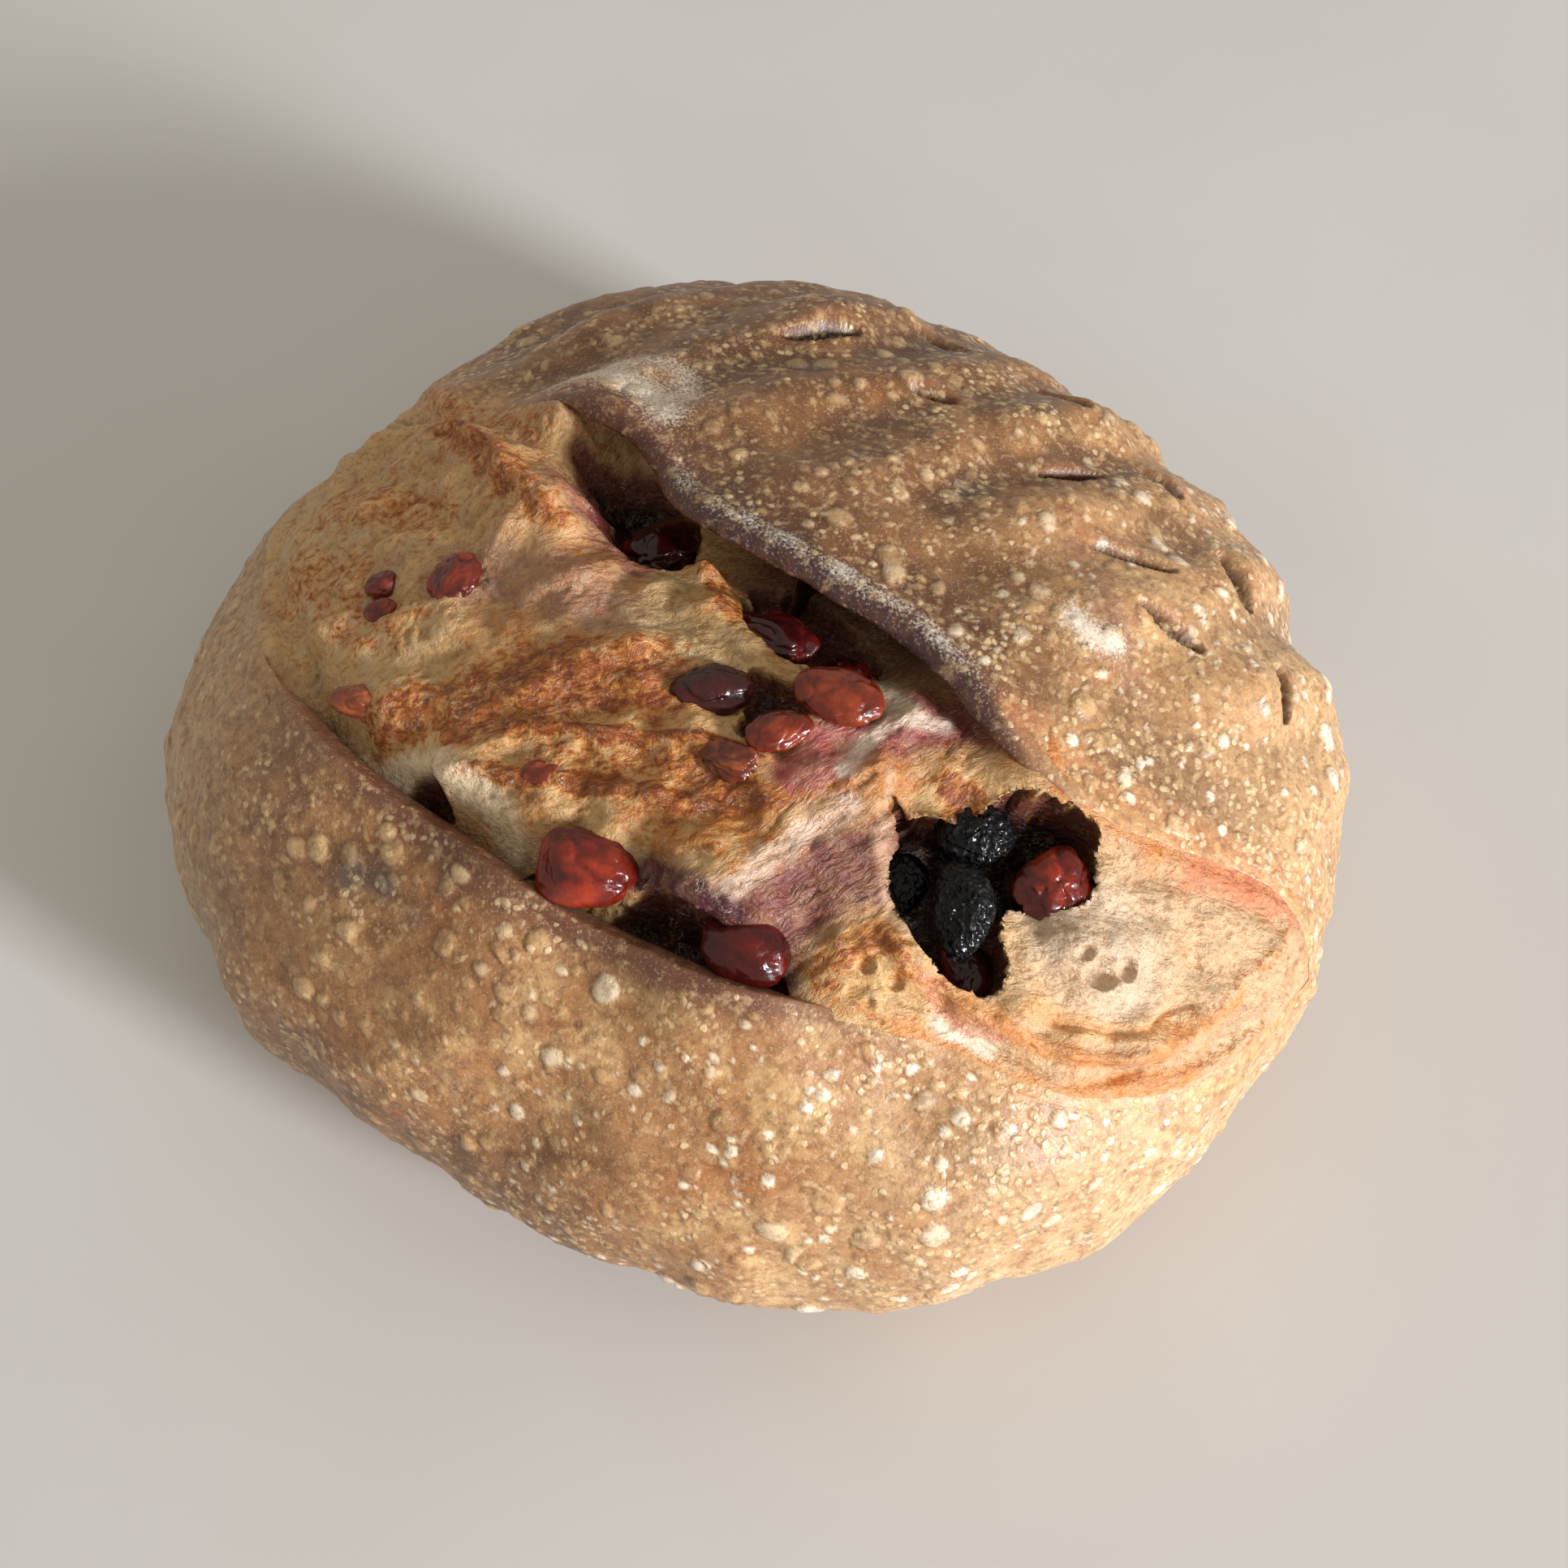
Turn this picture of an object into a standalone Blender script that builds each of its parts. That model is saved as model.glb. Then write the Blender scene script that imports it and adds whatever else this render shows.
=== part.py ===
"""A small round sourdough loaf baked with dried fruit, split open along one long slash.

The loaf is one closed body. Its surface is a profile carried round the lip of the slash: crumb, lip
and crust, then the flat foot. Every place on it is given on a map of the crust, in two coordinates:
"along" runs the way the slash runs, "across" runs from the near side to the far side, and both are
lengths over the dome measured from the crown. Each exposed fruit is a body of its own in a socket.
"""

import math

import bmesh
import bpy
import numpy as np
from mathutils import Matrix, Vector

MM = 0.001

# The dome without its relief
CROWN_HEIGHT = 77 * MM
WAIST_HEIGHT = 27 * MM
FOOT_CUT = 4 * MM  # how far the round underside is cut off by the flat foot
UPPER_FULLNESS = 2.2  # exponent of the dome's superellipse, 2 is a plain ellipse
LOWER_FULLNESS = 2.7
MEAN_RADIUS = 87.8 * MM
# Cosine and sine size of each wave round the outline: shift, oval, three and four lobes
OUTLINE_WAVES = ((1.5 * MM, -0.4 * MM), (1.9 * MM, -2.6 * MM), (-1.6 * MM, -1.6 * MM), (1.6 * MM, 1.1 * MM))

# The slash
SLASH_TURN = math.radians(-30)  # from +X, seen from above
LEFT_TIP = (-87, 27)
RIGHT_TIP = (103, 4)
NEAR_LIP = ((-91, 13), (-89, -4), (-76, -26), (-44, -47), (-4, -60), (24, -57), (48, -46), (74, -39), (92, -24))
FAR_LIP = ((-76, 21), (-62, 14), (-46, 13), (-26, 12), (-14, 4), (0, 2), (24, 0), (46, -7), (62, -5), (84, 5))
CRUST_THICKNESS = 1.8 * MM
FAR_SIDE_LIFT = 3.0 * MM  # the far crust stands higher than the near one all along the slash
FAR_SIDE_SPAN = (-74, 66)
EAR_LIFT = 3.5 * MM  # added where the far crust curls up into an ear
EAR_OVERHANG = 2.4 * MM
EAR_SPAN = (-40, 52)
NEAR_LIP_LIFT = 1.2 * MM
NEAR_LIP_OVERHANG = 1.6 * MM
NEAR_LIP_SPAN = (-70, 42)
NEAR_LIP_FREEDOM = 0.55  # how deep the near lip is undercut, as a share of the ear's undercut
SHOULDER_REACH = 1.3  # from the rim to the first ring of the crust, in millimetres
FOOT_CROWDING = 1.1  # exponent that sets the crust's rings a little closer at the lip

# Unevenness of the crust: height and wavelength of its dents, and the folds between the leaf cuts
DENTS = ((0.6 * MM, 34, 3), (0.15 * MM, 14, 5))  # height, wavelength, seed
FOLD_HEIGHT = 0.9 * MM
FOLD_START = -14
FOLD_SPACING = 20.5
FOLD_LEAN = 0.025  # waves for each millimetre across

# The torn crumb: its level beside the lips, its rise between them, and the troughs under the free lips
CRUMB_DROP = 2.0 * MM
CRUMB_RISE = 2.6 * MM
NEAR_TROUGH = 3.6 * MM
NEAR_TROUGH_REACH = 6.5
FAR_TROUGH = 5.5 * MM
FAR_TROUGH_REACH = 8.0
CRUMB_LUMPS = ((0.55 * MM, 15, 11), (0.35 * MM, 7, 13))  # height, wavelength, seed
# Toasted ridges: along, across, reach along, reach across, slant in degrees, height in millimetres
CRUMB_RIDGES = (
    (-12, -25, 15, 4.0, 55, 1.3),
    (2, -31, 22, 3.5, 20, 1.4),
    (2, -41, 24, 4.0, 22, 1.6),
    (-38, -3, 24, 6.0, -16, 3.0),
    (24, -27, 7, 14.0, 14, 2.4),
    (19, -47, 8, 5.0, 5, 2.6),
    (64, -42, 22, 2.6, 14, 1.0),
    (74, -33, 22, 2.6, 26, 0.9),
)

# The mesh
COLUMNS_PER_LIP = 44
CRUMB_RINGS = 9
CRUST_RINGS = 19
FOOT_RINGS = 2

# Leaf cuts in the far crust: along, across, length, turn in degrees, width
LEAF_CUTS = (
    (-18, 52, 15, 50, 2.6),
    (4, 50, 9, 18, 2.6),
    (29.5, 49, 13, 46, 2.0),
    (43, 36, 15, 25, 2.0),
    (52, 27, 13, 8, 2.0),
    (-4, 71, 11, 12, 2.2),
    (20, 68, 11, -12, 2.4),
    (41, 61.5, 9, -25, 3.4),
    (58, 49, 11, -39, 4.4),
    (71, 33, 10, -52, 2.2),
)
CUT_DEPTH = 3.0 * MM

# Each fruit: name, along, across, rise of its centre over the crumb, length, width, thickness, turn, tilt
CRANBERRY_SIZES = (
    ("cranberry_far_pocket", -20, 5, -3.4, 13.5, 10.5, 8.0, 70, 10),
    ("cranberry_under_ear", 6, -5, -2.6, 12.5, 9.0, 7.0, 5, 0),
    ("cranberry_under_ear_deep", 19, -4.5, -3.2, 10.5, 8.0, 6.5, -10, 0),
    ("cranberry_dark", 5.5, -20.5, -1.6, 11.0, 8.0, 7.0, 40, 10),
    ("cranberry_flat", 20, -12, 2.4, 12.5, 9.0, 4.6, 15, 0),
    ("cranberry_skin", 16.5, -21.0, 1.8, 9.0, 6.0, 3.0, 55, 0),
    ("cranberry_buried", 13.5, -29, 0.2, 9.5, 5.0, 4.0, 12, 0),
    ("cranberry_near_left", 2, -53.5, 0.8, 15.0, 11.0, 9.0, 22, 0),
    ("cranberry_near_right", 28, -49.5, -0.2, 12.5, 9.5, 8.5, 20, 0),
    ("cranberry_hollow_right", 56.5, -17, -3.4, 12.5, 10.0, 7.5, 75, 0),
    ("cranberry_hollow_floor", 54, -33.5, -7.8, 12.0, 7.0, 5.0, -30, 0),
    ("cranberry_left_large", -36.5, -19, 0.7, 9.0, 7.6, 5.0, 110, 0),
    ("cranberry_left_upper", -47.5, -23, 0.3, 5.2, 4.2, 3.4, 60, 0),
    ("cranberry_left_lower", -44.5, -27, 0.3, 5.4, 4.6, 3.4, 20, 0),
    ("cranberry_left_brown", -40, -40.5, 0.4, 8.0, 5.0, 3.6, 10, 0),
    ("cranberry_speck", -10, -43.5, 0.2, 5.4, 3.4, 2.6, 25, 0),
)
BLUEBERRY_SIZES = (
    ("blueberry_upper", 44.2, -16.6, -2.8, 10.5, 9.5, 7.5, 30, 0),
    ("blueberry_lower", 47.8, -27.4, -2.0, 12.5, 9.0, 8.0, 115, 0),
    ("blueberry_shadow", 39.3, -27.6, -8.6, 9.0, 7.5, 6.5, 90, 0),
)
SOCKET_GAP = 0.35 * MM
CRANBERRY_WRINKLE = 0.09  # size of the waves on its surface, as a share of its radius
BLUEBERRY_WRINKLE = 0.06
HOLLOW_WRINKLE = 0.10
COARSE_LENGTH = 11  # fruits shorter than this, in millimetres, have coarser meshes

# Each hollow torn in the crumb: along, across, sink of its centre, length, width, depth, turn
HOLLOWS = (
    (47.5, -23.0, -4.5, 30, 27, 21, -25),
    (-24, 7.5, -4.0, 19, 14, 14, 15),
    (12.5, -19.5, -3.0, 8, 12, 9, 70),
    (18, -53.5, -3.0, 20, 8, 9, 15),
)

CRUST_COLOR = (0.42, 0.22, 0.09, 1.0)
CRUST_ROUGHNESS = 0.6
CRANBERRY_COLOR = (0.22, 0.015, 0.010, 1.0)
CRANBERRY_ROUGHNESS = 0.25
BLUEBERRY_COLOR = (0.012, 0.012, 0.022, 1.0)
BLUEBERRY_ROUGHNESS = 0.4


def smooth_step(value, low, high):
    """0 below low, 1 above high, and an S-shaped rise between them."""
    share = np.clip((np.asarray(value, float) - low) / (high - low), 0.0, 1.0)
    return share * share * (3.0 - 2.0 * share)


def bump(value, centre, reach):
    """A bell that is 1 at the centre and falls to 0.37 at the reach."""
    return np.exp(-(((np.asarray(value, float) - centre) / reach) ** 2))


def spline(points, count):
    """Points at even spacing on a smooth curve through the given ones (Catmull-Rom)."""
    knots = np.array(points, float)
    padded = np.vstack([2 * knots[0] - knots[1], knots, 2 * knots[-1] - knots[-2]])
    fine = []
    for before, start, end, after in zip(padded, padded[1:], padded[2:], padded[3:]):
        t = np.linspace(0, 1, 40, endpoint=False)[:, None]
        fine.append(
            0.5 * (2 * start + (end - before) * t + (2 * before - 5 * start + 4 * end - after) * t**2
                   + (3 * start - before - 3 * end + after) * t**3)
        )
    fine = np.vstack(fine + [knots[-1:]])
    travelled = np.concatenate([[0], np.cumsum(np.linalg.norm(np.diff(fine, axis=0), axis=1))])
    wanted = np.linspace(0, travelled[-1], count)
    return np.stack([np.interp(wanted, travelled, fine[:, axis]) for axis in (0, 1)], axis=-1)


def ripple(points, wavelength, seed, waves=14):
    """Smooth noise of about unit size: a sum of sine waves in random directions."""
    rng = np.random.default_rng(seed)
    directions = rng.normal(size=(waves, points.shape[-1]))
    directions /= np.linalg.norm(directions, axis=1, keepdims=True)
    lengths = wavelength * rng.uniform(0.7, 1.5, size=waves)
    phases = rng.uniform(0, 2 * math.pi, size=waves)
    total = np.sin(points @ (directions / lengths[:, None]).T * 2 * math.pi + phases)
    return total.sum(axis=-1) * math.sqrt(2.0 / waves)


def dome_profile(polar):
    """Share of the outline's radius, and height, for a direction measured down from the crown."""
    cosine, sine = np.cos(polar), np.abs(np.sin(polar))
    upper = cosine >= 0
    fullness = np.where(upper, UPPER_FULLNESS, LOWER_FULLNESS)
    reach = (sine**fullness + np.abs(cosine) ** fullness) ** (-1 / fullness)
    rise = np.abs(cosine) * reach
    height = np.where(
        upper, WAIST_HEIGHT + (CROWN_HEIGHT - WAIST_HEIGHT) * rise, WAIST_HEIGHT - (WAIST_HEIGHT + FOOT_CUT) * rise
    )
    return sine * reach, height


def arc_table():
    """Directions from the crown down to the foot, and the length over the dome to each."""
    polar = np.linspace(0, math.pi, 4001)
    share, height = dome_profile(polar)
    foot = int(np.argmax((height < 0) & (polar > math.pi / 2)))
    steps = np.hypot(np.diff(share[: foot + 1] * MEAN_RADIUS), np.diff(height[: foot + 1]))
    return polar[: foot + 1], np.concatenate([[0], np.cumsum(steps)]) / MM


POLAR, ARC = arc_table()
FOOT_REACH = float(ARC[-1])  # length over the dome from the crown to the foot, in millimetres


def outline_radius(angle):
    """Plan radius of the loaf in each direction."""
    radius = np.full_like(angle, MEAN_RADIUS)
    for wave, (cosine_size, sine_size) in enumerate(OUTLINE_WAVES, start=1):
        radius = radius + cosine_size * np.cos(wave * angle) + sine_size * np.sin(wave * angle)
    return radius


def bare_dome(along, across):
    """The dome's surface at a place on the crust map."""
    east = along * math.cos(SLASH_TURN) - across * math.sin(SLASH_TURN)
    north = along * math.sin(SLASH_TURN) + across * math.cos(SLASH_TURN)
    angle = np.arctan2(north, east)
    share, height = dome_profile(np.interp(np.hypot(east, north), ARC, POLAR))
    radius = outline_radius(angle) * share
    height = np.where(np.hypot(east, north) >= FOOT_REACH - 0.01, 0.0, height)
    return np.stack([radius * np.cos(angle), radius * np.sin(angle), height], axis=-1)


def dome_frame(along, across):
    """Point, direction along, direction across and outward normal at places on the crust map."""
    along, across = np.asarray(along, float), np.asarray(across, float)
    step = 0.5
    to_right = bare_dome(along + step, across) - bare_dome(along - step, across)
    to_far = bare_dome(along, across + step) - bare_dome(along, across - step)
    normal = np.cross(to_right, to_far)
    normal /= np.linalg.norm(normal, axis=-1, keepdims=True)
    to_right /= np.linalg.norm(to_right, axis=-1, keepdims=True)
    return bare_dome(along, across), to_right, np.cross(normal, to_right), normal


def lip_distance(place, lip):
    """Distance on the map from each place to the nearest point of a lip."""
    gaps = place[..., None, :] - lip
    return np.linalg.norm(gaps, axis=-1).min(axis=-1)


NEAR_CURVE = spline((LEFT_TIP,) + NEAR_LIP + (RIGHT_TIP,), COLUMNS_PER_LIP + 1)
FAR_CURVE = spline((LEFT_TIP,) + FAR_LIP + (RIGHT_TIP,), COLUMNS_PER_LIP + 1)
NEAR_FINE = spline((LEFT_TIP,) + NEAR_LIP + (RIGHT_TIP,), 400)
FAR_FINE = spline((LEFT_TIP,) + FAR_LIP + (RIGHT_TIP,), 400)


def ear_share(along):
    """How much of an ear the far lip is, from 0 to 1."""
    return smooth_step(along, EAR_SPAN[0] - 12, EAR_SPAN[0] + 10) * (
        1 - smooth_step(along, EAR_SPAN[1] - 22, EAR_SPAN[1])
    )


def far_side_share(along):
    """How much of its full lift the far crust has, from 0 to 1."""
    low, high = FAR_SIDE_SPAN
    return smooth_step(along, low - 12, low + 12) * (1 - smooth_step(along, high - 20, high + 20))


def near_lip_share(along):
    """How far the near lip stands free of the crumb, from 0 to 1."""
    return smooth_step(along, NEAR_LIP_SPAN[0] - 12, NEAR_LIP_SPAN[0] + 12) * (
        1 - smooth_step(along, NEAR_LIP_SPAN[1] - 16, NEAR_LIP_SPAN[1])
    )


def crust_waves(place):
    """Soft unevenness of the crust: folds between the leaf cuts, and shallow dents all over."""
    along, across = place[..., 0], place[..., 1]
    reach = np.hypot(along, across)
    on_far_side = smooth_step(across, 8, 30) * (1 - smooth_step(reach, 95, 120))
    folds = np.sin(2 * math.pi * ((along - FOLD_START) / FOLD_SPACING - across * FOLD_LEAN))
    above_foot = 1 - smooth_step(reach, FOOT_REACH - 40, FOOT_REACH - 6)
    dents = sum(height * ripple(place, wavelength, seed) for height, wavelength, seed in DENTS)
    return FOLD_HEIGHT * on_far_side * folds + above_foot * dents


def crust_relief(place):
    """Height of the crust over the bare dome: its unevenness, and the swollen lips of the slash."""
    along = place[..., 0]
    far_gap = lip_distance(place, FAR_FINE)
    near_gap = lip_distance(place, NEAR_FINE)
    is_far = far_gap < near_gap
    far_side = far_side_share(along) * FAR_SIDE_LIFT * np.exp(-far_gap / 30) * is_far
    ear = ear_share(along) * EAR_LIFT * np.exp(-far_gap / 12) * is_far
    near_side = near_lip_share(along) * NEAR_LIP_LIFT * np.exp(-near_gap / 9) * ~is_far
    return crust_waves(place) + far_side + ear + near_side


def openness(place):
    """How far the slash is open at a place, from 0 at its two tips to 1."""
    share = np.ones(place.shape[:-1])
    for tip in (LEFT_TIP, RIGHT_TIP):
        share = share * smooth_step(np.linalg.norm(place - np.array(tip), axis=-1), 1.0, 15.0)
    return share


def band(place, along, across, reach_along, reach_across, slant):
    """A long bell on the map, turned by a slant in degrees from the way of the slash."""
    turn = math.radians(slant)
    off_along, off_across = place[..., 0] - along, place[..., 1] - across
    lengthwise = off_along * math.cos(turn) + off_across * math.sin(turn)
    crosswise = off_across * math.cos(turn) - off_along * math.sin(turn)
    return bump(lengthwise, 0, reach_along) * bump(crosswise, 0, reach_across)


def crumb_relief(place):
    """Height of the torn crumb over the bare dome: sunk beside the lips, with folded ridges between."""
    along = place[..., 0]
    near_gap = lip_distance(place, NEAR_FINE)
    far_gap = lip_distance(place, FAR_FINE)
    fade = smooth_step(np.minimum(near_gap, far_gap), 0.0, 9.0)
    height = fade * CRUMB_RISE - CRUMB_DROP + (1 - fade) * crust_waves(place)
    height = height - NEAR_TROUGH * near_lip_share(along) * bump(near_gap, 0, NEAR_TROUGH_REACH)
    height = height - FAR_TROUGH * ear_share(along) * bump(far_gap, 0, FAR_TROUGH_REACH)
    for *ridge, size in CRUMB_RIDGES:
        height = height + fade * size * MM * band(place, *ridge)
    for size, wavelength, seed in CRUMB_LUMPS:
        height = height + fade * size * ripple(place, wavelength, seed)
    share = openness(place)
    return share * height + (1 - share) * (crust_relief(place) - 0.5 * MM)


def outward(curve, sign):
    """Unit direction on the map pointing from the slash onto the crust, for each point of a lip."""
    tangent = np.gradient(curve, axis=0)
    tangent /= np.linalg.norm(tangent, axis=1, keepdims=True)
    return sign * np.stack([-tangent[:, 1], tangent[:, 0]], axis=-1)


def lip_loop():
    """The closed lip, its outward directions, the line down the middle, and the foot ring's places.

    It runs along the near lip from the left tip to the right one, and back along the far lip.
    """
    middle = (NEAR_CURVE + FAR_CURVE) / 2
    lip = np.vstack([NEAR_CURVE[:-1], FAR_CURVE[:0:-1]])
    centre = np.vstack([middle[:-1], middle[:0:-1]])
    away = np.vstack([outward(NEAR_CURVE, -1)[:-1], outward(FAR_CURVE, 1)[:0:-1]])
    for _ in range(2):
        away = np.roll(away, 1, axis=0) + away + np.roll(away, -1, axis=0)
        away /= np.linalg.norm(away, axis=1, keepdims=True)
    # Each column meets the foot where its outward direction points, evened out between neighbours
    aim = lip + away * 40
    even = np.arange(len(lip)) * 2 * math.pi / len(lip)
    swing = np.unwrap(np.arctan2(aim[:, 1], aim[:, 0])) - even
    for _ in range(40):
        swing = (np.roll(swing, 1) + swing + np.roll(swing, -1)) / 3
    foot = FOOT_REACH * np.stack([np.cos(swing + even), np.sin(swing + even)], axis=-1)
    is_far = np.arange(len(lip)) > COLUMNS_PER_LIP
    return lip, away, centre, foot, is_far


def lifted(place, height):
    """Points over the dome at places on the map, at a height along its normal."""
    point, _, _, normal = dome_frame(place[..., 0], place[..., 1])
    return point + normal * height[..., None]


def loaf_rings():
    """Rings of points from the middle of the crumb, out over the lip and the crust, to the foot."""
    lip, away, centre, foot, is_far = lip_loop()
    along = lip[:, 0]
    free = np.where(is_far, ear_share(along), NEAR_LIP_FREEDOM * near_lip_share(along))
    overhang = np.where(is_far, ear_share(along) * EAR_OVERHANG, near_lip_share(along) * NEAR_LIP_OVERHANG) / MM
    share = openness(lip)
    undercut = 0.1 + share * (0.3 + 2.6 * free)
    rings = []
    edge_place = lip + away * undercut[:, None]
    for step in np.linspace(0, 1, CRUMB_RINGS):
        place = centre + (edge_place - centre) * step
        rings.append(lifted(place, crumb_relief(place)))
    height = crust_relief(lip)
    # Offsets from the lip and depths under it: the wall's top, the rim's underside, the rim, the shoulder
    wall = (1 - share) * 0.3 + share * undercut * 0.9
    under_rim = (1 - share) * 0.5 + share * (0.2 + 0.3 * free - overhang)
    rim = (1 - share) * 0.8 - share * overhang
    shoulder = lip + away * (SHOULDER_REACH + rim - (1 - share) * 0.8)[:, None]
    wall_depth = (1 - share) * 0.4 * MM + share * CRUST_THICKNESS * (0.5 + free)
    under_depth = (1 - share) * 0.3 * MM + share * CRUST_THICKNESS * (0.35 + 0.65 * free)
    rings.append(lifted(lip + away * wall[:, None], height - wall_depth))
    rings.append(lifted(lip + away * under_rim[:, None], height - under_depth))
    rings.append(lifted(lip + away * rim[:, None], height - (0.15 + 0.15 * share) * MM))
    rings.append(lifted(shoulder, height))
    for step in np.linspace(0, 1, CRUST_RINGS + 1)[1:]:
        place = shoulder + (foot - shoulder) * step**FOOT_CROWDING
        rings.append(lifted(place, crust_relief(place) if step < 1 else np.zeros(len(place))))
    rings[-1][:, 2] = 0.0
    foot_ring = rings[-1]
    for ring in range(1, FOOT_RINGS + 1):
        rings.append(foot_ring * (1 - ring / (FOOT_RINGS + 1)))
    return rings


def add_object(name, mesh, color, roughness):
    """An object with its own Principled material, shaded smooth."""
    material = bpy.data.materials.new(name)
    material.use_nodes = True
    shader = material.node_tree.nodes["Principled BSDF"]
    shader.inputs["Base Color"].default_value = color
    shader.inputs["Roughness"].default_value = roughness
    mesh.materials.append(material)
    mesh.shade_smooth()
    obj = bpy.data.objects.new(name, mesh)
    bpy.context.scene.collection.objects.link(obj)
    return obj


def loaf_body():
    """The loaf as one closed mesh: rings joined by faces, a seam down the crumb, and the flat foot."""
    rings = loaf_rings()
    shape = bmesh.new()
    loops = [[shape.verts.new(point) for point in ring] for ring in rings]
    count = len(loops[0])
    for inner, outer in zip(loops, loops[1:]):
        for index in range(count):
            after = (index + 1) % count
            shape.faces.new((inner[index], outer[index], outer[after], inner[after]))
    foot_middle = shape.verts.new((0, 0, 0))
    for index in range(count):
        shape.faces.new((loops[-1][index], foot_middle, loops[-1][(index + 1) % count]))
    bmesh.ops.remove_doubles(shape, verts=shape.verts, dist=0.02 * MM)
    bmesh.ops.dissolve_degenerate(shape, edges=shape.edges, dist=0.01 * MM)
    bmesh.ops.triangulate(shape, faces=shape.faces)
    bmesh.ops.recalc_face_normals(shape, faces=shape.faces)
    mesh = bpy.data.meshes.new("loaf")
    shape.to_mesh(mesh)
    shape.free()
    return add_object("loaf", mesh, CRUST_COLOR, CRUST_ROUGHNESS)


def seat_matrix(along, across, height, turn_degrees, tilt_degrees):
    """Places a shape on the dome: its X the long way, turned on the map, its Z outwards."""
    point, to_right, to_far, normal = dome_frame(along, across)
    seat = Matrix.Identity(4)
    for column, axis in enumerate((to_right, to_far, normal, point + normal * height)):
        seat.col[column][:3] = axis
    turn = Matrix.Rotation(math.radians(turn_degrees), 4, "Z")
    tilt = Matrix.Rotation(math.radians(tilt_degrees), 4, "Y")
    return seat @ turn @ tilt


def pebble(name, size, grow, wrinkle, seed, subdivisions):
    """A rounded shape of the given length, width and thickness, wrinkled and grown all over."""
    shape = bmesh.new()
    bmesh.ops.create_icosphere(shape, subdivisions=subdivisions, radius=1.0)
    for vert in shape.verts:
        direction = np.array(vert.co)
        swell = 1 + wrinkle * float(ripple(direction, 1.1, seed))
        vert.co = Vector(direction * swell * np.array(size) / 2)
        vert.co += Vector(direction) * grow
    mesh = bpy.data.meshes.new(name)
    shape.to_mesh(mesh)
    shape.free()
    return mesh


def add_cutter(name, mesh, collection):
    """A helper that cuts the loaf and isn't part of it."""
    cutter = bpy.data.objects.new(name, mesh)
    cutter.hide_render = True
    cutter.display_type = "WIRE"
    collection.objects.link(cutter)
    return cutter


def add_fruits(cutters):
    """Every exposed fruit, and a slightly larger cutter for its socket."""
    kinds = (
        (CRANBERRY_SIZES, CRANBERRY_COLOR, CRANBERRY_WRINKLE, CRANBERRY_ROUGHNESS),
        (BLUEBERRY_SIZES, BLUEBERRY_COLOR, BLUEBERRY_WRINKLE, BLUEBERRY_ROUGHNESS),
    )
    for sizes, color, wrinkle, roughness in kinds:
        for seed, (name, along, across, rise, length, width, thickness, turn, tilt) in enumerate(sizes, start=40):
            size = np.array([length, width, thickness]) * MM
            height = float(crumb_relief(np.array([along, across], float))) + rise * MM
            seat = seat_matrix(along, across, height, turn, tilt)
            subdivisions = 2 if length < COARSE_LENGTH else 3
            fruit = add_object(name, pebble(name, size, 0, wrinkle, seed, subdivisions), color, roughness)
            fruit.matrix_world = seat
            socket = add_cutter(
                name + "_socket", pebble(name, size, SOCKET_GAP, wrinkle, seed, subdivisions), cutters
            )
            socket.matrix_world = seat


def add_hollows(cutters):
    """Cutters for the hollows torn in the crumb."""
    for seed, (along, across, sink, length, width, depth, turn) in enumerate(HOLLOWS, start=70):
        size = np.array([length, width, depth]) * MM
        height = float(crumb_relief(np.array([along, across], float))) + sink * MM
        hollow = add_cutter("hollow", pebble("hollow", size, 0, HOLLOW_WRINKLE, seed, 2), cutters)
        hollow.matrix_world = seat_matrix(along, across, height, turn, 0)


def add_leaf_cuts(cutters):
    """Cutters for the leaf cuts that fan out over the far crust."""
    for along, across, length, turn, width in LEAF_CUTS:
        height = float(crust_relief(np.array([along, across], float)))
        size = np.array([length * MM, width * MM, 2 * CUT_DEPTH])
        cut = add_cutter("leaf_cut", pebble("leaf_cut", size, 0, 0, 0, 2), cutters)
        cut.matrix_world = seat_matrix(along, across, height, turn, 0)


def main():
    for obj in list(bpy.data.objects):
        bpy.data.objects.remove(obj)
    loaf = loaf_body()
    cutters = bpy.data.collections.new("cutters")
    bpy.context.scene.collection.children.link(cutters)
    add_fruits(cutters)
    add_hollows(cutters)
    add_leaf_cuts(cutters)
    cut = loaf.modifiers.new("sockets and hollows", "BOOLEAN")
    cut.operation = "DIFFERENCE"
    cut.operand_type = "COLLECTION"
    cut.collection = cutters
    cut.solver = "EXACT"


main()
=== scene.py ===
"""A small round sourdough loaf baked with dried fruit, split open along one long slash.

Lengths are in millimetres until a mesh is made. Every place on the loaf is given on the same map of
the crust as in the part's source: "along" runs the way the slash runs, "across" runs from the near
side to the far side, and both are lengths over the dome measured from the crown.
"""

import math

import bpy
import numpy as np
from mathutils import Matrix, Vector


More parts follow.
